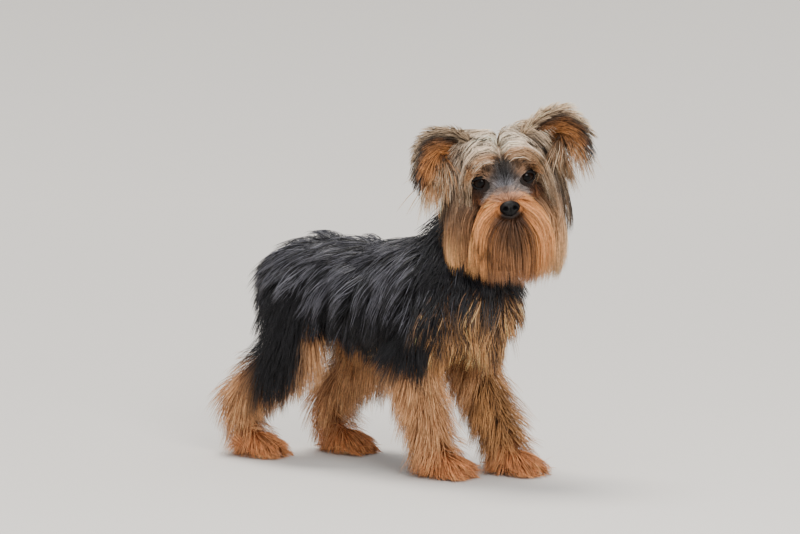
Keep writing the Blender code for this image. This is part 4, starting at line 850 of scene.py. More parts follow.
# How that hair runs: lines of seven points in mm in the head's axes (left, forward, up), from a root on the
# skin to a tip, first on the right, then in the middle, then on the left.
GUIDES = [
    ("parting", (-1, 3, 29), (1, 4, 42), (-5, 3, 43), (-15, 4, 43),
        (-28, 7, 38), (-37, 11, 28), (-44, 13, 12)),
    ("parting", (-1, -6, 29), (3, -6, 42), (-2, -5, 42), (-11, -2, 42),
        (-24, 3, 40), (-32, 8, 32), (-39, 11, 19)),
    ("crown far back", (-1, -14, 27), (4, -14, 41), (-2, -13, 42), (-11, -11, 42),
        (-19, -7, 42), (-28, -2, 39), (-35, 3, 32)),
    ("brow", (-2, 20, 20), (-11, 24, 27), (-20, 24, 24), (-29, 22, 16),
        (-33, 21, 1), (-33, 20, -17), (-31, 19, -29)),
    ("brow", (-14, 20, 18), (-21, 23, 25), (-27, 22, 20), (-31, 21, 11),
        (-33, 20, -2), (-33, 20, -17), (-32, 19, -29)),
    ("forehead", (-2, 16, 24), (-9, 19, 34), (-22, 20, 33), (-33, 19, 21),
        (-38, 19, 3), (-40, 19, -16), (-38, 18, -33)),
    ("crown", (-2, 8, 28), (-8, 9, 39), (-23, 12, 39), (-36, 14, 27),
        (-42, 16, 6), (-45, 17, -16), (-45, 17, -35)),
    ("crown back", (-2, -2, 29), (-5, -2, 42), (-23, 2, 43), (-38, 8, 33),
        (-46, 12, 9), (-50, 13, -13), (-51, 13, -35)),
    ("over the ear", (-4, -12, 28), (-5, -14, 41), (-20, -13, 44), (-33, -11, 48),
        (-45, -9, 50), (-56, -7, 47), (-66, -5, 41)),
    ("side of the crown", (-18, -6, 27), (-26, -2, 35), (-36, 6, 33), (-44, 10, 21),
        (-48, 11, 3), (-51, 11, -16), (-52, 11, -36)),
    ("over the brow", (-12, 12, 24), (-20, 18, 31), (-29, 18, 23), (-34, 18, 12),
        (-38, 18, -4), (-38, 18, -19), (-36, 17, -35)),
    ("end of the brow", (-24, 12, 17), (-30, 15, 17), (-34, 15, 7), (-37, 15, -5),
        (-38, 15, -18), (-38, 15, -31), (-36, 15, -42)),
    ("before the right ear", (-22, -8, 26), (-34, 2, 40), (-42, 7, 35), (-48, 8, 22),
        (-52, 7, 8), (-54, 6, -7), (-55, 5, -22)),
    ("right temple", (-30, 6, 8), (-39, 10, 9), (-44, 11, -1), (-47, 12, -12),
        (-49, 12, -26), (-50, 12, -39), (-50, 12, -52)),
    ("behind the temple", (-31, -8, 4), (-46, -4, 6), (-52, -4, -7), (-56, -4, -21),
        (-58, -3, -36), (-60, -3, -49), (-60, -2, -62)),
    ("shaded right cheek", (-31, 0, -2), (-45, 5, -7), (-51, 8, -19), (-55, 11, -33),
        (-58, 14, -47), (-59, 16, -62), (-60, 17, -78)),
    ("shaded right lower cheek", (-28, 4, -16), (-41, 10, -24), (-47, 13, -35), (-51, 16, -48),
        (-53, 18, -61), (-53, 19, -72), (-52, 19, -83)),
    ("shaded right jaw", (-16, 20, -27), (-31, 25, -32), (-37, 25, -44), (-40, 25, -54),
        (-42, 24, -65), (-43, 23, -75), (-42, 22, -87)),
    ("throat", (-10, -6, -28), (-22, 0, -43), (-24, 2, -53), (-26, 3, -62),
        (-27, 4, -72), (-28, 4, -81), (-27, 4, -90)),
    ("side of the muzzle", (-14, 42, -10), (-22, 46, -17), (-29, 44, -24), (-34, 40, -37),
        (-37, 36, -52), (-39, 33, -67), (-40, 31, -86)),
    ("beside the nose", (-10, 54, -12), (-17, 57, -14), (-24, 55, -18), (-29, 52, -27),
        (-32, 48, -40), (-33, 44, -56), (-35, 41, -80)),
    ("lip", (-13, 50, -20), (-18, 56, -22), (-24, 55, -28), (-28, 52, -39),
        (-30, 48, -53), (-31, 45, -67), (-31, 43, -87)),
    ("under the nose", (-5, 57, -22), (-10, 61, -23), (-17, 60, -28), (-23, 57, -38),
        (-26, 53, -52), (-27, 49, -68), (-26, 46, -88)),
    ("side of the chin", (-10, 34, -29), (-18, 40, -43), (-21, 40, -52), (-24, 38, -62),
        (-24, 37, -70), (-25, 36, -78), (-25, 35, -91)),
    ("chin", (-1, 57, -24), (-4, 63, -26), (-8, 62, -34), (-11, 59, -46),
        (-14, 55, -59), (-14, 51, -72), (-14, 47, -91)),
    ("chin", (2, 52, -28), (1, 59, -34), (2, 58, -44), (2, 55, -56),
        (2, 52, -67), (1, 49, -79), (-2, 46, -95)),
    ("under the chin", (-4, 38, -31), (-7, 46, -44), (-8, 46, -54), (-10, 45, -63),
        (-11, 43, -73), (-11, 41, -83), (-12, 40, -91)),
    ("under the chin", (4, 36, -31), (6, 46, -46), (6, 46, -56), (6, 45, -65),
        (6, 43, -75), (5, 41, -85), (4, 40, -98)),
    ("under the chin", (5, 22, -30), (8, 28, -50), (10, 28, -60), (11, 27, -70),
        (11, 26, -80), (11, 25, -89), (10, 24, -102)),
    ("under the chin", (-5, 22, -30), (-13, 28, -48), (-15, 28, -57), (-17, 27, -66),
        (-19, 26, -76), (-20, 25, -84), (-20, 24, -93)),
    ("parting", (1, 3, 29), (3, 4, 42), (10, 3, 43), (21, 4, 41),
        (32, 7, 34), (40, 11, 21), (44, 13, 3)),
    ("parting", (1, -6, 29), (4, -6, 42), (9, -5, 42), (18, -2, 41),
        (29, 3, 36), (38, 8, 25), (43, 11, 8)),
    ("crown far back", (1, -14, 27), (5, -14, 41), (11, -13, 42), (20, -12, 42),
        (29, -9, 41), (38, -4, 35), (45, 2, 25)),
    ("brow", (2, 20, 20), (9, 24, 30), (21, 24, 30), (33, 22, 21),
        (40, 21, 6), (43, 20, -11), (45, 19, -30)),
    ("brow", (14, 20, 18), (24, 23, 25), (32, 22, 19), (38, 21, 9),
        (41, 20, -6), (43, 20, -22), (44, 19, -37)),
    ("forehead", (2, 16, 24), (11, 19, 35), (25, 20, 33), (37, 19, 21),
        (43, 19, 4), (46, 19, -15), (47, 18, -36)),
    ("crown", (2, 8, 28), (12, 9, 39), (25, 12, 35), (36, 14, 23),
        (42, 16, 5), (44, 17, -15), (45, 17, -37)),
    ("crown back", (2, -2, 29), (13, -2, 40), (28, 2, 37), (39, 8, 25),
        (44, 12, 6), (47, 13, -15), (48, 13, -37)),
    ("over the ear", (4, -12, 28), (17, -14, 44), (29, -13, 49), (42, -11, 52),
        (54, -9, 53), (64, -7, 51), (71, -5, 45)),
    ("side of the crown", (16, -2, 28), (32, 0, 36), (40, 6, 26), (45, 10, 11),
        (48, 11, -6), (50, 11, -26), (51, 11, -45)),
    ("over the brow", (12, 12, 24), (24, 18, 31), (33, 18, 24), (40, 18, 11),
        (43, 18, -4), (44, 18, -19), (45, 17, -36)),
    ("end of the brow", (24, 12, 17), (37, 15, 15), (42, 15, 5), (45, 15, -8),
        (46, 15, -20), (46, 15, -33), (46, 15, -46)),
    ("before the left ear", (20, -9, 27), (27, 2, 44), (35, 8, 38), (43, 12, 26),
        (49, 12, 10), (54, 10, -7), (56, 8, -27)),
    ("on the left ear", (22, -12, 26), (36, 4, 48), (45, 10, 46), (51, 13, 36),
        (54, 13, 23), (57, 11, 8), (61, 7, -9)),
    ("before the left ear", (25, -6, 23), (35, 4, 37), (43, 10, 28), (47, 13, 16),
        (50, 12, 2), (54, 10, -16), (56, 7, -38)),
    ("on the left ear", (19, -15, 27), (31, 2, 49), (41, 8, 49), (48, 12, 39),
        (53, 13, 25), (56, 11, 9), (59, 7, -9)),
    ("left temple", (30, 6, 8), (47, 10, 2), (50, 11, -11), (50, 12, -24),
        (50, 12, -38), (50, 12, -51), (48, 12, -64)),
    ("behind the temple", (31, -8, 4), (55, -4, -2), (58, -4, -15), (60, -4, -27),
        (61, -3, -40), (60, -3, -51), (58, -2, -61)),
    ("lit left cheek", (31, 0, -2), (48, 5, -27), (50, 8, -39), (51, 11, -51),
        (51, 13, -62), (48, 14, -76), (43, 14, -94)),
    ("lit left lower cheek", (28, 4, -16), (43, 9, -36), (46, 13, -48), (46, 15, -60),
        (45, 16, -72), (42, 16, -85), (37, 16, -98)),
    ("lit left jaw", (16, 20, -27), (32, 25, -41), (36, 25, -52), (38, 25, -63),
        (37, 24, -76), (35, 23, -87), (29, 22, -104)),
    ("throat", (10, -6, -28), (26, 0, -50), (26, 2, -60), (26, 3, -70),
        (25, 4, -79), (23, 4, -88), (19, 4, -102)),
    ("side of the muzzle", (14, 42, -10), (22, 46, -17), (30, 44, -24), (36, 40, -37),
        (38, 36, -53), (37, 33, -71), (31, 31, -96)),
    ("beside the nose", (10, 54, -12), (13, 57, -15), (21, 55, -20), (28, 52, -30),
        (31, 48, -45), (30, 44, -63), (24, 41, -95)),
    ("lip", (13, 50, -20), (14, 56, -25), (21, 55, -31), (26, 52, -43),
        (27, 48, -58), (24, 45, -75), (18, 43, -99)),
    ("under the nose", (5, 57, -22), (7, 61, -25), (14, 60, -31), (19, 57, -41),
        (20, 53, -56), (18, 49, -73), (11, 46, -98)),
    ("side of the chin", (10, 34, -29), (18, 40, -46), (19, 40, -56), (20, 38, -66),
        (18, 37, -76), (16, 36, -85), (12, 35, -102)),
]


def resliced(line, first, last):
    """Lines cut to begin and end at those of their stations, given as fractions, and divided again evenly."""
    count, stations = line.shape[:2]
    at = first[:, None] + np.linspace(0, 1, stations) * (last - first)[:, None]
    before = np.clip(at.astype(int), 0, stations - 2)
    part = (at - before)[..., None]
    rows = np.arange(count)[:, None]
    return line[rows, before] * (1 - part) + line[rows, before + 1] * part


GUIDE_LINES = np.array([line for _, *line in GUIDES], float) / 1000
GUIDE_SHADES = np.array([GUIDE_COLOURS[name] for name, *_ in GUIDES]).reshape(-1, 9)
GUIDE_NEAR = 0.0022  # guide lines nearer than this to a root count about alike
GUIDE_DEPTH = 0.010  # how much nearer to the middle of the head the deepest layer lies
GUIDE_WAVE = 0.0020  # how far the tips move together with those beside them
GUIDE_SPREAD = 0.0008  # and each by itself


def guide_weights(root):
    """How much each guide line counts for roots on the head: 1/(distance^2 + near^2)^2 from its own root, and
    nothing for those of the other side of the parting."""
    starts = GUIDE_LINES[:, 0]
    local = to_head(root)
    weight = 1 / (np.sum((local[:, None] - starts) ** 2, axis=2) + GUIDE_NEAR**2) ** 2
    off = np.abs(starts[:, 0])
    across = (local[:, :1] * starts[:, 0] < 0) & ((off > 0.0030) | ((off > 0.0006) & (local[:, 2:] > 0)))
    weight = np.where(across, 0, weight)
    return weight / weight.sum(axis=1, keepdims=True)


def guided(root, weight, chance):
    """Lines for hairs of the head: weighted means of the guide lines, moved to the hair's own root, waved,
    spread, and cut at an uneven length. Deeper layers lie nearer to the middle of the head."""
    local = to_head(root)
    line = np.einsum("hg,gsk->hsk", weight, GUIDE_LINES)
    share = np.linspace(0, 1, line.shape[1])[None, :, None]
    line = line + (local[:, None] - line[:, :1]) * (1 - 0.8 * ease(0, 1, share))
    inwards = np.array([0, 0.008, 0]) - line * (1, 1, 0) - np.maximum(line, 0) * (0, 0, 1)
    depth = GUIDE_DEPTH * chance.random((len(root), 1, 1)) ** 2
    line = line + unit(inwards) * depth * ease(0, 0.5, share)
    waves = np.column_stack([ripple(root, 90, seed) for seed in (21, 22, 23)])[:, None]
    line = line + (waves * GUIDE_WAVE + chance.normal(0, GUIDE_SPREAD, (len(root), 1, 3))) * share
    end = 0.95 - 0.15 * chance.random(len(root)) ** 1.5 + 0.04 * ripple(root, 330, 24)
    end = (line.shape[1] - 1) * np.minimum(end, 1)
    return in_head(resliced(line, np.zeros(len(root)), end))


PUSH_REACH = 0.03  # hair further than this from the skin isn't moved off it
ROOT_DEPTH = 0.0006  # how deep in the skin hairs begin


def pushed_out(tree, points, wanted):
    """Points moved outwards to a wanted height over the skin, and out of the windows, and the skin's outward
    directions there."""
    place, out = nearest(tree, points)
    away = dot(points - place, out)[:, 0]
    push = np.where(np.abs(away) < PUSH_REACH, np.maximum(wanted - away, 0), 0)
    return kept_clear(points + out * push[:, None]), out


def draped(tree, line, height, chance):
    """Lines moved off the skin to their own layer of the coat, and the outward directions along them."""
    count, stations = line.shape[:2]
    share = np.tile(np.linspace(0, 1, stations), count)
    layer = np.repeat(chance.random(count), stations)
    wanted = -ROOT_DEPTH + (0.0010 + 0.5 * np.repeat(height, stations) * layer) * ease(0, 0.5, share)
    moved, out = pushed_out(tree, line.reshape(-1, 3), wanted)
    return moved.reshape(line.shape), out.reshape(line.shape)


def grown(tree, root, normal, way, length, height, growth, chance):
    """The middle lines of hairs, and the skin's outward directions along them. Each hair leaves its root
    along way, lifted off the skin, waves from side to side, and bends towards the ground a little more at
    each step. Wherever it comes nearer to the skin than its own layer of the coat it is moved out to it, so
    that the hair drapes over the body."""
    count, stations = len(root), growth["stations"]
    layer = chance.random(count)
    tuft = np.clip(1 + growth["tuft"] * ripple(root, 30, 8), 0.2, None)[:, None]
    lift = growth["lift"] * chance.uniform(0.5, 1.3, (count, 1)) * tuft
    fall = growth["fall"] * chance.uniform(0.7, 1.3, (count, 1)) * np.clip(length / 0.045, 0.6, 2.2)[:, None]
    phase = chance.uniform(0, 2 * math.pi, count)
    turns = chance.uniform(0.8, 1.5, count)
    way = unit(way - normal * dot(way, normal))
    heading = unit(way + normal * lift)
    on_chest = 1 + 0.9 * ease(-0.075, -0.095, root[:, 1:2]) * (root[:, 2:] < 0.20)
    point, out = root - normal * ROOT_DEPTH, normal
    line, outs = [point], [normal]
    step = (length / stations)[:, None]
    for k in range(1, stations + 1):
        share = k / stations
        wave = growth["wave"] * np.sin(phase + 2 * math.pi * turns * share)[:, None] * on_chest
        heading = unit(heading + way * 0.10 + DOWN * fall * share + np.cross(out, heading) * wave)
        wanted = 0.0004 + height * layer * ease(0, 0.75, share)
        point, out = pushed_out(tree, point + heading * step, wanted)
        heading = unit(point - line[-1])
        line.append(point)
        outs.append(out)
    return np.stack(line, axis=1), np.stack(outs, axis=1)


def drawn_together(line, root, spacing, pull, chance):
    """Hairs gathered in locks: every hair near a leading one bends towards that one's line by pull, more so
    towards its tip. The second array numbers each hair's lock."""
    count, stations = line.shape[:2]
    cells = {}
    for index in chance.permutation(count):
        cells.setdefault(tuple(np.floor(root[index] / spacing).astype(int)), index)
    leaders = np.array(list(cells.values()))
    tree = KDTree(len(leaders))
    for number, index in enumerate(leaders):
        tree.insert(Vector(root[index]), number)
    tree.balance()
    own = np.array([tree.find(Vector(point))[1] for point in root])
    lead = line[leaders[own]]
    share = np.linspace(0, 1, stations)[None, :, None]
    target = lead + (root - root[leaders[own]])[:, None] * (1 - share) ** 1.2
    amount = pull * ease(0.0, 0.9, share) * chance.uniform(0.6, 1.0, (count, 1, 1))
    return line + (target - line) * amount, own


BLADE = ([0, 0.2, 0.55, 1], [0.55, 1, 0.85, 0.15])  # shares of a hair's length, and of its width there
RIDGE = 0.7  # height of a blade's ridge as a share of half its width


def blades(line, outs, width, roll):
    """Closed three-edged blades along the hairs' lines: left, ridge, right, and a point at the tip. Each is
    rolled by its own angle about its line."""
    count, stations = line.shape[:2]
    along = unit(np.gradient(line, axis=1))
    out = unit(outs - along * dot(outs, along))
    side = np.cross(out, along)
    face = out * np.cos(roll)[:, None, None] + side * np.sin(roll)[:, None, None]
    side = np.cross(face, along)
    share = np.linspace(0, 1, stations)[:-1]
    half = np.interp(share, *BLADE)[None, :, None] * width[:, None, None] / 2
    body, aside, above = line[:, :-1], side[:, :-1] * half, face[:, :-1] * half * RIDGE
    rings = np.stack([body + aside, body + above, body - aside], axis=2)
    points = np.concatenate([rings.reshape(count, -1, 3), line[:, -1:]], axis=1)
    rings_each = stations - 1
    faces = [(0, 1, 2)]
    for k in range(rings_each - 1):
        for j in range(3):
            a, b = 3 * k + j, 3 * k + (j + 1) % 3
            faces += [(a, a + 3, b), (b, a + 3, b + 3)]
    last = 3 * (rings_each - 1)
    faces += [(last + j, 3 * rings_each, last + (j + 1) % 3) for j in range(3)]
    return points, np.array(faces)


PATCH = 0.003  # the size of a hair's place on the map OFBake


def coat_mesh(name, points, faces, chart, colour):
    """Many blades as one mesh. Each has a patch of the map OFBake at its root's place on the skin's unwrap,
    with its width across the patch and its length up it, and its colours at its points."""
    count, each = points.shape[:2]
    corners = (faces[None] + (np.arange(count) * each)[:, None, None]).reshape(-1, 3)
    mesh = bpy.data.meshes.new(name)
    mesh.vertices.add(count * each)
    mesh.vertices.foreach_set("co", (points + SHIFT).astype(np.float32).ravel())
    mesh.loops.add(corners.size)
    mesh.loops.foreach_set("vertex_index", corners.ravel().astype(np.int32))
    mesh.polygons.add(len(corners))
    mesh.polygons.foreach_set("loop_start", np.arange(0, corners.size, 3, dtype=np.int32))
    mesh.update(calc_edges=True)
    rings = (each - 1) // 3
    across = np.r_[np.tile([0.1, 0.5, 0.9], rings), 0.5]
    upward = np.r_[np.repeat(np.arange(rings) / rings, 3), 1.0]
    patch = np.column_stack([across, upward]) * PATCH
    spots = chart[:, None] * (1 - PATCH) + patch[None]
    uv = mesh.uv_layers.new(name="OFBake")
    uv.data.foreach_set("uv", spots.reshape(-1, 2)[corners.ravel()].astype(np.float32).ravel())
    give_colours(mesh, "Coat", colour)
    mesh.shade_smooth()
    return new_object(name, mesh)


# Each kind of hair: how many hairs there are on one limb, how many steps each takes, its width, how much it
# lifts off the skin, falls, waves and stands in tufts, and the size of its locks and how strongly they draw
# together.
GROWTH_OF = ("count", "stations", "width", "lift", "fall", "wave", "tuft", "lock", "pull")
GROWTH = {
    kind: dict(zip(GROWTH_OF, sizes))
    for kind, *sizes in (
        ("torso", 13800, 5, 0.00088, 0.36, 0.30, 0.46, 1.1, 0.0140, 0.82),
        ("neck", 1400, 6, 0.00100, 0.34, 0.40, 0.35, 0.6, 0.0110, 0.78),
        ("tail", 400, 5, 0.00095, 0.30, 0.60, 0.20, 0.3, 0.0060, 0.70),
        ("long", 9800, 6, 0.00068, 0.24, 0.42, 0.05, 0.2, 0.0055, 0.45),
        ("short", 6800, 4, 0.00052, 0.24, 0.05, 0.05, 0.0, 0.0022, 0.25),
        ("leg", 4100, 4, 0.00058, 0.38, 0.34, 0.34, 0.4, 0.0085, 0.60),
        ("foot", 900, 4, 0.00076, 0.25, 0.30, 0.12, 0.2, 0.0045, 0.55),
        ("ear", 2200, 5, 0.00062, 0.20, 0.34, 0.10, 0.2, 0.0050, 0.45),
    )
}
LONG_FROM = 0.017  # hair of the head longer than this is grown with the long hair


def combing(kind, name, points, normals, along):
    """The way, length and height of the hair at skin points of one limb. Before the eyes it leaves them
    straight away on all sides, on the feet it points away from the foot's middle, and on the ears towards
    their tips and edges."""
    if kind in ("torso", "neck", "tail"):
        way, sizes = combed(TRUNK_COMB, points)
        length = np.where(kind == "tail", 0.036, sizes[:, 0])
        hem = np.maximum(points[:, 2] - 0.086, 0.022)
        return way, np.minimum(length, hem / np.maximum(-way[:, 2], 0.35) + 0.010), sizes[:, 1]
    if kind in ("long", "short"):
        local = to_head(points)
        way, sizes = combed(HEAD_COMB, local)
        from_eye = np.column_stack([local[:, 0] - np.sign(local[:, 0]) * EYE_AT[0], local[:, 2] - EYE_AT[2]])
        near = ease(0.0120, 0.0090, np.linalg.norm(from_eye, axis=1)) * (local[:, 1] > 0.010)
        near = near * np.where(np.abs(local[:, 0]) < EYE_AT[0] - 0.004, 0.3, 1.0)
        radial = unit(np.column_stack([from_eye[:, 0], np.zeros(len(local)), from_eye[:, 1]]))
        way = unit(way * (1 - near[:, None]) + radial * near[:, None])
        return way @ HEAD_AXES, sizes[:, 0], sizes[:, 1]
    if kind == "leg":
        aside = unit(np.column_stack([normals[:, :2], np.zeros(len(normals))]))
        way = DOWN + aside * 0.15 + np.array([0.0, 0.12, 0.0])
        length = np.interp(along, [0.0, 0.3, 0.7, 1.0], [0.048, 0.046, 0.042, 0.030])
        height = np.interp(along, [0.0, 0.4, 0.8, 1.0], [0.014, 0.023, 0.020, 0.009])
        return way, np.minimum(length, points[:, 2] * 1.15 + 0.004), height
    if kind == "foot":
        foot = np.array([LIMBS[name][0][1][0], LIMBS[name][0][1][1] + 0.002])
        flat = unit(points[:, :2] - foot)
        way = np.column_stack([flat, np.full(len(points), -0.40)]) + np.array([0, -0.20, 0])
        length = np.where(points[:, 1] < foot[1], 0.023, 0.024)
        return way, length, np.full(len(points), 0.003)
    side = 1 if name == "ear_left" else -1
    _, _, ahead, across, _ = ear_frame(side, EAR_STATIONS)
    far, edge, _ = on_ear_leaf(side, points)
    near = (far * (EAR_STATIONS - 1)).round().astype(int)
    upward = across[near] * np.where(across[near] @ HEAD_AXES[2] > 0, 1.0, -1.0)[:, None]
    low = ease(0.1, -0.7, edge)[:, None]
    way = ahead[near] * (0.9 - 0.3 * low) + upward * edge[:, None] * 0.45 + DOWN * (0.10 + 0.75 * low)
    length = np.interp(edge, [-1.0, -0.5, 0.2, 1.0], [0.054, 0.040, 0.022, 0.020])
    return way, length, np.full(len(points), 0.0035)


SPECKLES = {  # hairs of another colour: their share, root and tip
    # The trunk's slate hairs are partly a painted sheen.
    "trunk": (0.22, *SLATE_AND_SHEEN),
    "chest": (0.36, (0.010, 0.006, 0.005), (0.110, 0.055, 0.026)),
    "cream": (0.20, (0.260, 0.130, 0.055), (0.900, 0.540, 0.250)),
    "dark": (0.12, (0.018, 0.014, 0.012), (0.090, 0.064, 0.048)),
    "light": (0.12, (0.400, 0.300, 0.220), (0.700, 0.580, 0.450)),
}


def varied(colours, tan, kind, points, lock, chance):
    """The hairs' colours at root, middle and tip with each lock's and each hair's own brightness, and some
    locks and hairs of another colour."""
    count = len(colours)
    of_lock = chance.random(lock.max() + 1)[lock]
    bright = 0.10 * chance.normal(0, 1, count) + 0.55 * (of_lock - 0.5) + 0.16 * ripple(points, 110, 9)
    bright = np.exp(bright)[:, None, None]
    colours = colours * bright  # a new array, so that mixed_in doesn't change the caller's
    pick = np.where(chance.random(count) < 0.6, of_lock, chance.random(count)) - 0.12 * ripple(points, 70, 10)

    def mixed_in(where, key, amount=1.0):
        share, root, tip = SPECKLES[key]
        chosen = where & (pick < share * amount)
        colours[chosen] = np.array([root, np.add(root, tip) / 2, tip])[None] * bright[chosen]

    if kind in ("torso", "neck", "tail"):
        # Slate hairs gather high on the back, where the light from above falls: a painted sheen.
        sheen_on_back = 2.4 * ease(0.145, 0.195, points[:, 2]) * ease(-0.085, -0.055, points[:, 1])
        mixed_in(tan < 0.5, "trunk", sheen_on_back)
        mixed_in(tan >= 0.5, "chest")
        pick = 1 - pick
        mixed_in(tan >= 0.5, "cream")
    if kind == "long":
        local = to_head(points)
        above = local[:, 2] > 0.004
        mixed_in(above, "dark", 0.3 + 1.4 * ease(0.016, 0.032, np.abs(local[:, 0])))
        pick = 1 - pick
        mixed_in(above, "light")
    return np.minimum(colours, 0.95)


def kinds_of(name):
    """The kinds of hair on a limb. Only the head has two, long and short."""
    kind = name.split("_")[0].removeprefix("fore").removeprefix("hind")
    return ("long", "short") if kind == "head" else (kind,)


def sown(where, kind, middles, local, lengths):
    """The triangles' weights for one kind of hair: it is thinner on the belly, and thicker on the forehead,
    beside the parting and in the beard. The head's hair is long or short by the length combed there."""
    if kind == "torso":
        where = where * np.where(middles[:, 2] < 0.118, 0.75, 1.0)
    if kind == "short":
        where = where * (lengths < LONG_FROM) * np.where(local[:, 2] > 0.004, 2.0, 1.0)
    if kind == "long":
        where = where * (lengths >= LONG_FROM) * np.where(local[:, 2] < -0.004, 1.7, 1.0)
        where = where * (1 + 1.6 * ease(0.009, 0.003, np.abs(local[:, 0])) * (local[:, 2] > 0.018))
    return where


def along_hair(colours, stations):
    """Colours at a blade's points from those at the hair's root, middle and tip, by two smooth steps."""
    share = np.r_[np.repeat(np.arange(stations) / stations, 3), 1.0][None, :, None]
    colour = colours[:, :1] + (colours[:, 1:2] - colours[:, :1]) * ease(0.0, 0.5, share)
    return colour + (colours[:, 2:] - colours[:, 1:2]) * ease(0.4, 0.95, share)


def grow_coat(skin, chance):
    """The whole coat as named pieces: for each limb its hairs are strewn, combed, grown, drawn together in
    locks and given blades and colours. The head's long hair follows the guide lines, but for its back."""
    surface = surface_of(skin.data)
    points, corners, _, _ = surface
    tree = BVHTree.FromPolygons([Vector(point) for point in points], corners.tolist())
    lines = limb_lines()
    names = np.array(list(lines))
    middles = points[corners].mean(axis=1)
    on = names[placed(middles, lines)[0]]
    local = to_head(middles)
    lengths = combed(HEAD_COMB, local)[1][:, 0]
    eyes = np.any([in_window(local, window, WINDOW_BARE)[1] for window in WINDOWS], axis=0)
    haired = ease(0.0035, 0.0060, middles[:, 2]) * ~eyes
    pieces = []
    for name, kind in ((name, kind) for name in names for kind in kinds_of(name)):
        growth = GROWTH[kind]
        where = sown((on == name) * haired, kind, middles, local, lengths)
        root, normal = strewn(surface, where, growth["count"], chance)
        _, along, turn = placed(root, {name: lines[name]})
        way, length, height = combing(kind, name, root, normal, along)
        way = unit(way) + 0.10 * np.column_stack([ripple(root, 60, seed) for seed in (3, 4, 5)])
        way = way + chance.normal(0, 0.06, way.shape)
        longest = 0.98 if kind == "ear" else 1.10
        length = length * chance.uniform(0.72, longest, len(root)) * (1 + 0.10 * ripple(root, 70, 6))
        line, outs = grown(tree, root, normal, way, length, height, growth, chance)
        if kind == "long":
            front = ease(-0.024, -0.014, to_head(root)[:, 1])[:, None, None]
            weight = guide_weights(root)
            line = line + (guided(root, weight, chance) - line) * front
            line, outs = draped(tree, line, height, chance)
            guide_shades = (weight @ GUIDE_SHADES).reshape(-1, 3, 3)
        line, _ = drawn_together(line, root, growth["lock"], growth["pull"], chance)
        line, lock = drawn_together(line, root, growth["lock"] * 0.45, growth["pull"] * 0.6, chance)
        line[:, 1:-1] = (line[:, :-2] + 2 * line[:, 1:-1] + line[:, 2:]) / 4
        kept = ~crossing(line)
        root, line, outs, lock, along, turn = (rows[kept] for rows in (root, line, outs, lock, along, turn))
        width = growth["width"] * chance.uniform(0.75, 1.25, len(root))
        blade, faces = blades(line, outs, width, chance.uniform(-0.7, 0.7, len(root)))
        colours, tan = coat_colours(root, np.full(len(root), name), turn)
        colours = np.stack([colours[:, 0], colours.mean(axis=1), colours[:, 1]], axis=1)
        if kind == "long":
            colours = colours + (guide_shades[kept] - colours) * front[kept]
        colours = varied(colours, tan, kind, root, lock, chance)
        chart = np.column_stack([turn / (2 * math.pi) + 0.5, along])
        pieces.append((name, kind, root, blade, faces, chart, along_hair(colours, growth["stations"])))
    return pieces


def parted(pieces):
    """Pieces split by side and front so that none reaches 200,000 triangles, each with its own name."""
    made = []
    for name, kind, root, blade, faces, chart, colour in pieces:
        if name == "torso":
            cuts = {
                "left": (root[:, 0] >= 0) & (root[:, 1] >= -0.05),
                "right": (root[:, 0] < 0) & (root[:, 1] >= -0.05),
                "chest": root[:, 1] < -0.05,
            }
        elif kind == "long":
            local = to_head(root)
            cuts = {"left": local[:, 0] >= 0, "right": local[:, 0] < 0}
        else:
            cuts = {"": np.ones(len(root), bool)}
        for label, rows in cuts.items():
            title = "_".join(word for word in ("coat", name, kind if name == "head" else "", label) if word)
            made.append((name, coat_mesh(title, blade[rows], faces, chart[rows], colour[rows])))
    return made


def material(name, roughness, specular=0.5):
    """A new material and its shader."""
    made = bpy.data.materials.new(name)
    made.use_nodes = True
    shader = made.node_tree.nodes["Principled BSDF"]
    shader.inputs["Roughness"].default_value = roughness
    shader.inputs["Specular IOR Level"].default_value = specular
    return made, shader


def linked(made, kind, **values):
    """A new node of one kind in a material, with its properties or its inputs' values set."""
    node = made.node_tree.nodes.new(kind)
    for key, value in values.items():
        if hasattr(node, key):
            setattr(node, key, value)
        else:
            node.inputs[key.replace("_", " ").title()].default_value = value
    return node


def mottled(name, roughness, specular, grain, tones):
    """A material of the attribute Coat's colours times an uneven tone, a fine noise mapped by tones. Returns
    its shader and its noise as well."""
    made, shader = material(name, roughness, specular)
    links = made.node_tree.links
    coat = linked(made, "ShaderNodeAttribute", attribute_name="Coat")
    place = linked(made, "ShaderNodeTexCoord")
    noise = linked(made, "ShaderNodeTexNoise", roughness=0.6, **grain)
    ramp = linked(made, "ShaderNodeMapRange", **tones)
    mix = linked(made, "ShaderNodeVectorMath", operation="SCALE")
    links.new(place.outputs["Object"], noise.inputs["Vector"])
    links.new(noise.outputs["Fac"], ramp.inputs["Value"])
    links.new(coat.outputs["Color"], mix.inputs[0])
    links.new(ramp.outputs["Result"], mix.inputs["Scale"])
    links.new(mix.outputs["Vector"], shader.inputs["Base Color"])
    return made, shader, noise


def bumped(made, shader, height, strength, distance):
    """The shader's surface raised and sunk by a node's output."""
    bump = linked(made, "ShaderNodeBump", strength=strength, distance=distance)
    made.node_tree.links.new(height, bump.inputs["Height"])
    made.node_tree.links.new(bump.outputs["Normal"], shader.inputs["Normal"])


def hair_material(name, roughness):
    """Hair: its own colours, with a fine uneven tone along and across the strands."""
    tones = {"from_min": 0.3, "from_max": 0.7, "to_min": 0.72, "to_max": 1.25}
    return mottled(name, roughness, 0.38, {"scale": 420.0, "detail": 3.0}, tones)[0]


def skin_material():
    """Skin under the coat: the markings' colours, darker and blotched, with fine pores."""
    grain = {"scale": 180.0, "detail": 4.0}
    made, shader, noise = mottled("skin", 0.6, 0.3, grain, {"to_min": 0.5, "to_max": 1.2})
    bumped(made, shader, noise.outputs["Fac"], 0.35, 0.0005)
    return made


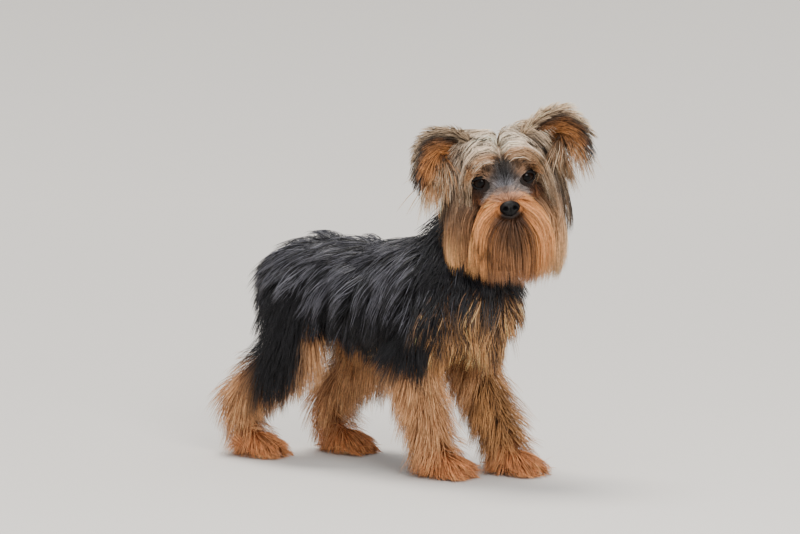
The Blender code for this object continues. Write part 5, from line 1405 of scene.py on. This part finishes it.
def paint_skin(skin, made):
    """The skin's own colours from the coat's markings, darker than the hair."""
    points = read_points(skin.data)
    lines = limb_lines()
    limb, _, turn = placed(points, lines)
    colours, _ = coat_colours(points, np.array(list(lines))[limb], turn)
    give_colours(skin.data, "Coat", colours[:, 0] * SKIN_SHADE)
    skin.data.materials.append(made)
    skin.data.shade_smooth()


def make_eye(side):
    """The eye: a ball whose front bulges a little as the cornea, with rings of colour about its gaze."""
    flat, lean = sphere(40, 48)
    reach = EYE_RADIUS * (1 + CORNEA * ease(0.75, 0.25, math.pi - lean))
    axes = eye_axes(side)
    poles = eye_centre(side) + np.array([-axes[1], axes[1] * (1 + CORNEA)]) * EYE_RADIUS
    grid = eye_centre(side) + (flat * reach[..., None]) @ axes
    made = new_mesh("eyeball_left" if side > 0 else "eyeball_right", *closed_grid(grid, poles))
    away = unit(read_points(made.data) - eye_centre(side)) @ axes[1]
    angle = np.degrees(np.arccos(np.clip(away, -1, 1)))
    pupil, iris = ease(19, 16, angle)[:, None], ease(47, 42, angle)[:, None]
    colour = np.array([0.0016, 0.0013, 0.0014]) * (1 - iris) + np.array([0.007, 0.0032, 0.0018]) * iris
    colour = colour * (1 - pupil) + np.array([0.0008, 0.0008, 0.0010]) * pupil
    give_colours(made.data, "Iris", colour)
    return made


def make_lids(side):
    """The lids' rims: a flattened tube carried round the opening on the ball, thicker above than below. The
    opening is an ellipse with its own half heights above and below, slanted up to the outside."""
    count, sides = 72, 12
    sideways, gaze, up = eye_axes(side)
    reach = EYE_RADIUS + 0.0006
    turn = around(count)
    wide = np.cos(turn) * LID_HALF * 1.04
    high = np.sin(turn) * np.where(np.sin(turn) > 0, LID_ABOVE, LID_BELOW) * 1.04 + wide * side * LID_SLANT
    deep = np.sqrt(np.maximum(reach**2 - wide**2 - high**2, (0.3 * reach) ** 2))
    line = eye_centre(side) + np.outer(wide, sideways) + np.outer(high, up) + np.outer(deep, gaze)
    out = unit(line - eye_centre(side))
    along = unit(np.roll(line, -1, axis=0) - np.roll(line, 1, axis=0))
    across = np.cross(out, along)
    thick = 0.00085 + 0.00025 * np.sin(turn)[:, None]
    turn = around(sides)
    flat = across[:, None] * (np.cos(turn) * 1.5 * thick)[..., None]
    ring = flat + out[:, None] * (np.sin(turn) * thick)[..., None]
    return new_mesh("lids_left" if side > 0 else "lids_right", *closed_grid(line[:, None] + ring))


def bell(*offsets):
    """exp(-(sum of the squares of the offsets))"""
    return np.exp(-sum(offset**2 for offset in offsets))


def make_nose():
    """The nose: an ellipsoid, its poles to front and back, narrower below, with two comma-shaped nostrils
    that open to the side and a groove down its middle, all of them bell-shaped dents."""
    flat, _ = sphere(70, 96)
    narrow = 1 - 0.30 * ease(0.1, -0.8, flat[..., 2])
    place = flat * np.stack([narrow, np.ones_like(narrow), np.ones_like(narrow)], axis=-1) * NOSE_HALF
    left, high = np.abs(place[..., 0]), place[..., 2]
    front = ease(-0.2, 0.3, flat[..., 1])
    hole = bell((left - 0.0037) / 0.0014, (high - 0.0013) / 0.0013)
    slit = bell((left - 0.0060) / 0.0018, (high - 0.0005 + 0.35 * (left - 0.0060)) / 0.0007)
    groove = bell(left / 0.0006) * ease(0.0024, 0.0, high)
    rim = bell((np.hypot(left - 0.0040, high - 0.0013) - 0.0024) / 0.0008)
    place[..., 1] -= (0.0034 * hole + 0.0022 * slit + 0.0008 * groove) * front - 0.0005 * rim * front
    middle, poles = in_head(NOSE_AT), (POLES * NOSE_HALF) @ HEAD_AXES
    return new_mesh("nose_pad", *closed_grid(middle + place @ HEAD_AXES, middle + poles))


def wet_material(name):
    """The eye: its rings of colour under a wet, smooth surface."""
    made, shader = material(name, 0.05, 0.10)
    rings = linked(made, "ShaderNodeAttribute", attribute_name="Iris")
    made.node_tree.links.new(rings.outputs["Color"], shader.inputs["Base Color"])
    return made


def pigment_material(name, scale, strength, roughness):
    """Black bare skin: pebbled by a cell pattern, faintly mottled, moist."""
    made, shader = material(name, roughness, 0.14)
    shader.inputs["Coat Weight"].default_value = 0.02
    shader.inputs["Coat Roughness"].default_value = 0.25
    links = made.node_tree.links
    place = linked(made, "ShaderNodeTexCoord")
    cells = linked(made, "ShaderNodeTexVoronoi", scale=scale)
    ramp = linked(made, "ShaderNodeValToRGB")
    ramp.color_ramp.elements[0].color = (0.0016, 0.0016, 0.0019, 1)
    ramp.color_ramp.elements[1].color = (0.0060, 0.0056, 0.0060, 1)
    links.new(place.outputs["Object"], cells.inputs["Vector"])
    links.new(cells.outputs["Distance"], ramp.inputs["Fac"])
    links.new(ramp.outputs["Color"], shader.inputs["Base Color"])
    bumped(made, shader, cells.outputs["Distance"], strength, 0.0003)
    return made


SLOTS = {"head": "head_hair", "ear": "head_hair", **dict.fromkeys(("torso", "neck", "tail"), "dark_coat")}
HEADING = math.radians(38)  # the camera looks this far from +X towards +Y
PITCH = math.radians(4.68)
CAMERA_AT = (-1.785, -1.407, 0.366)
LENS = 113.8


def make_camera():
    """The camera at the photo's viewing angle."""
    camera = new_object("camera", bpy.data.cameras.new("camera"))
    flat = math.cos(PITCH)
    look = Vector((math.cos(HEADING) * flat, math.sin(HEADING) * flat, -math.sin(PITCH)))
    camera.location = Vector(CAMERA_AT) + Vector(SHIFT)
    camera.rotation_euler = look.to_track_quat("-Z", "Y").to_euler()
    camera.data.lens = LENS
    camera.data.sensor_width = 36.0
    camera.data.clip_start = 0.05
    camera.data.clip_end = 100.0
    bpy.context.scene.camera = camera


def soft_light(name, kind, place, towards, strength, colour, **sizes):
    """A light of one kind at a place, turned towards another, with the sizes that its kind has."""
    light = new_object(name, bpy.data.lights.new(name, kind))
    light.data.energy = strength
    light.data.color = colour
    for key, value in sizes.items():
        setattr(light.data, key, value)
    light.location = place
    light.rotation_euler = (Vector(towards) - Vector(place)).to_track_quat("-Z", "Y").to_euler()


def make_stage():
    """A plain pale floor that curves up into a pale surround: r = flat + bend*sin(a), z = bend*(1 - cos(a)).
    The light comes from a pale sky, a square light at the front left that the eyes mirror, and a broad one
    high up behind."""
    sides, flat, bend = 128, 4.2, 2.4
    lean = np.radians(np.linspace(0, 80, 33))
    reach = np.r_[0.6, 1.6, 2.8, flat + bend * np.sin(lean)][:, None]
    high = np.r_[0, 0, 0, bend * (1 - np.cos(lean))][:, None]
    turn = around(sides)
    high = np.broadcast_to(high, (len(reach), sides))
    grid = np.stack([reach * np.cos(turn), reach * np.sin(turn), high], axis=-1)
    index = np.arange(high.size).reshape(high.shape)
    following = np.roll(index, -1, axis=1)
    quads = np.stack([index[:-1], index[1:], following[1:], following[:-1]], axis=-1)
    mesh = bpy.data.meshes.new("floor")
    mesh.from_pydata(grid.reshape(-1, 3).tolist(), [], [index[0].tolist(), *quads.reshape(-1, 4).tolist()])
    mesh.shade_smooth()
    floor = new_object("floor", mesh)
    made, shader = material("floor", 0.9, 0.1)
    shader.inputs["Base Color"].default_value = (0.66, 0.64, 0.615, 1)
    mesh.materials.append(made)
    world = bpy.data.worlds.new("studio")
    world.use_nodes = True
    sky = world.node_tree.nodes["Background"]
    sky.inputs["Color"].default_value = (0.96, 0.98, 1.0, 1)
    sky.inputs["Strength"].default_value = 0.78
    bpy.context.scene.world = world
    soft_light("key", "AREA", (-0.95, -1.50, 1.08), (0.0, -0.10, 0.20), 34, (1.0, 0.97, 0.93), size=0.8)
    soft_light("top", "SUN", (0.1, 0.4, 1.7), (0, 0, 0), 3.6, (1.0, 0.95, 0.88), angle=math.radians(25))


def main():
    """Makes the skin, coat, eyes, lids and nose, says what each rides on and replaces, and lights them."""
    chance = np.random.default_rng(7)
    skin = make_skin()
    coats = parted(grow_coat(skin, chance))
    paint_skin(skin, skin_material())
    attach(skin, "root")
    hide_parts(*[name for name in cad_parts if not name.startswith(("eye", "nose"))])
    roughness = {"dark_coat": 0.34, "tan_coat": 0.50, "head_hair": 0.44}
    hair = {slot: hair_material(slot, value) for slot, value in roughness.items()}
    for name, coat in coats:
        slot = SLOTS.get(name.split("_")[0], "tan_coat")
        coat.data.materials.append(hair[slot])
        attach(coat, "root")
        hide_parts(name)
    eye_gloss = wet_material("eye_gloss")
    nose_skin = pigment_material("nose_skin", 1500.0, 0.5, 0.42)
    for side, name in ((1, "eye_left"), (-1, "eye_right")):
        eye = make_eye(side)
        eye.data.materials.append(eye_gloss)
        lids = make_lids(side)
        lids.data.materials.append(nose_skin)
        for piece, slot in ((eye, "eye_gloss"), (lids, "nose_skin")):
            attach(piece, "root")
        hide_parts(name)
        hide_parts("head")
    nose = make_nose()
    nose.data.materials.append(nose_skin)
    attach(nose, "root")
    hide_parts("nose")
    make_stage()
    make_camera()


main()
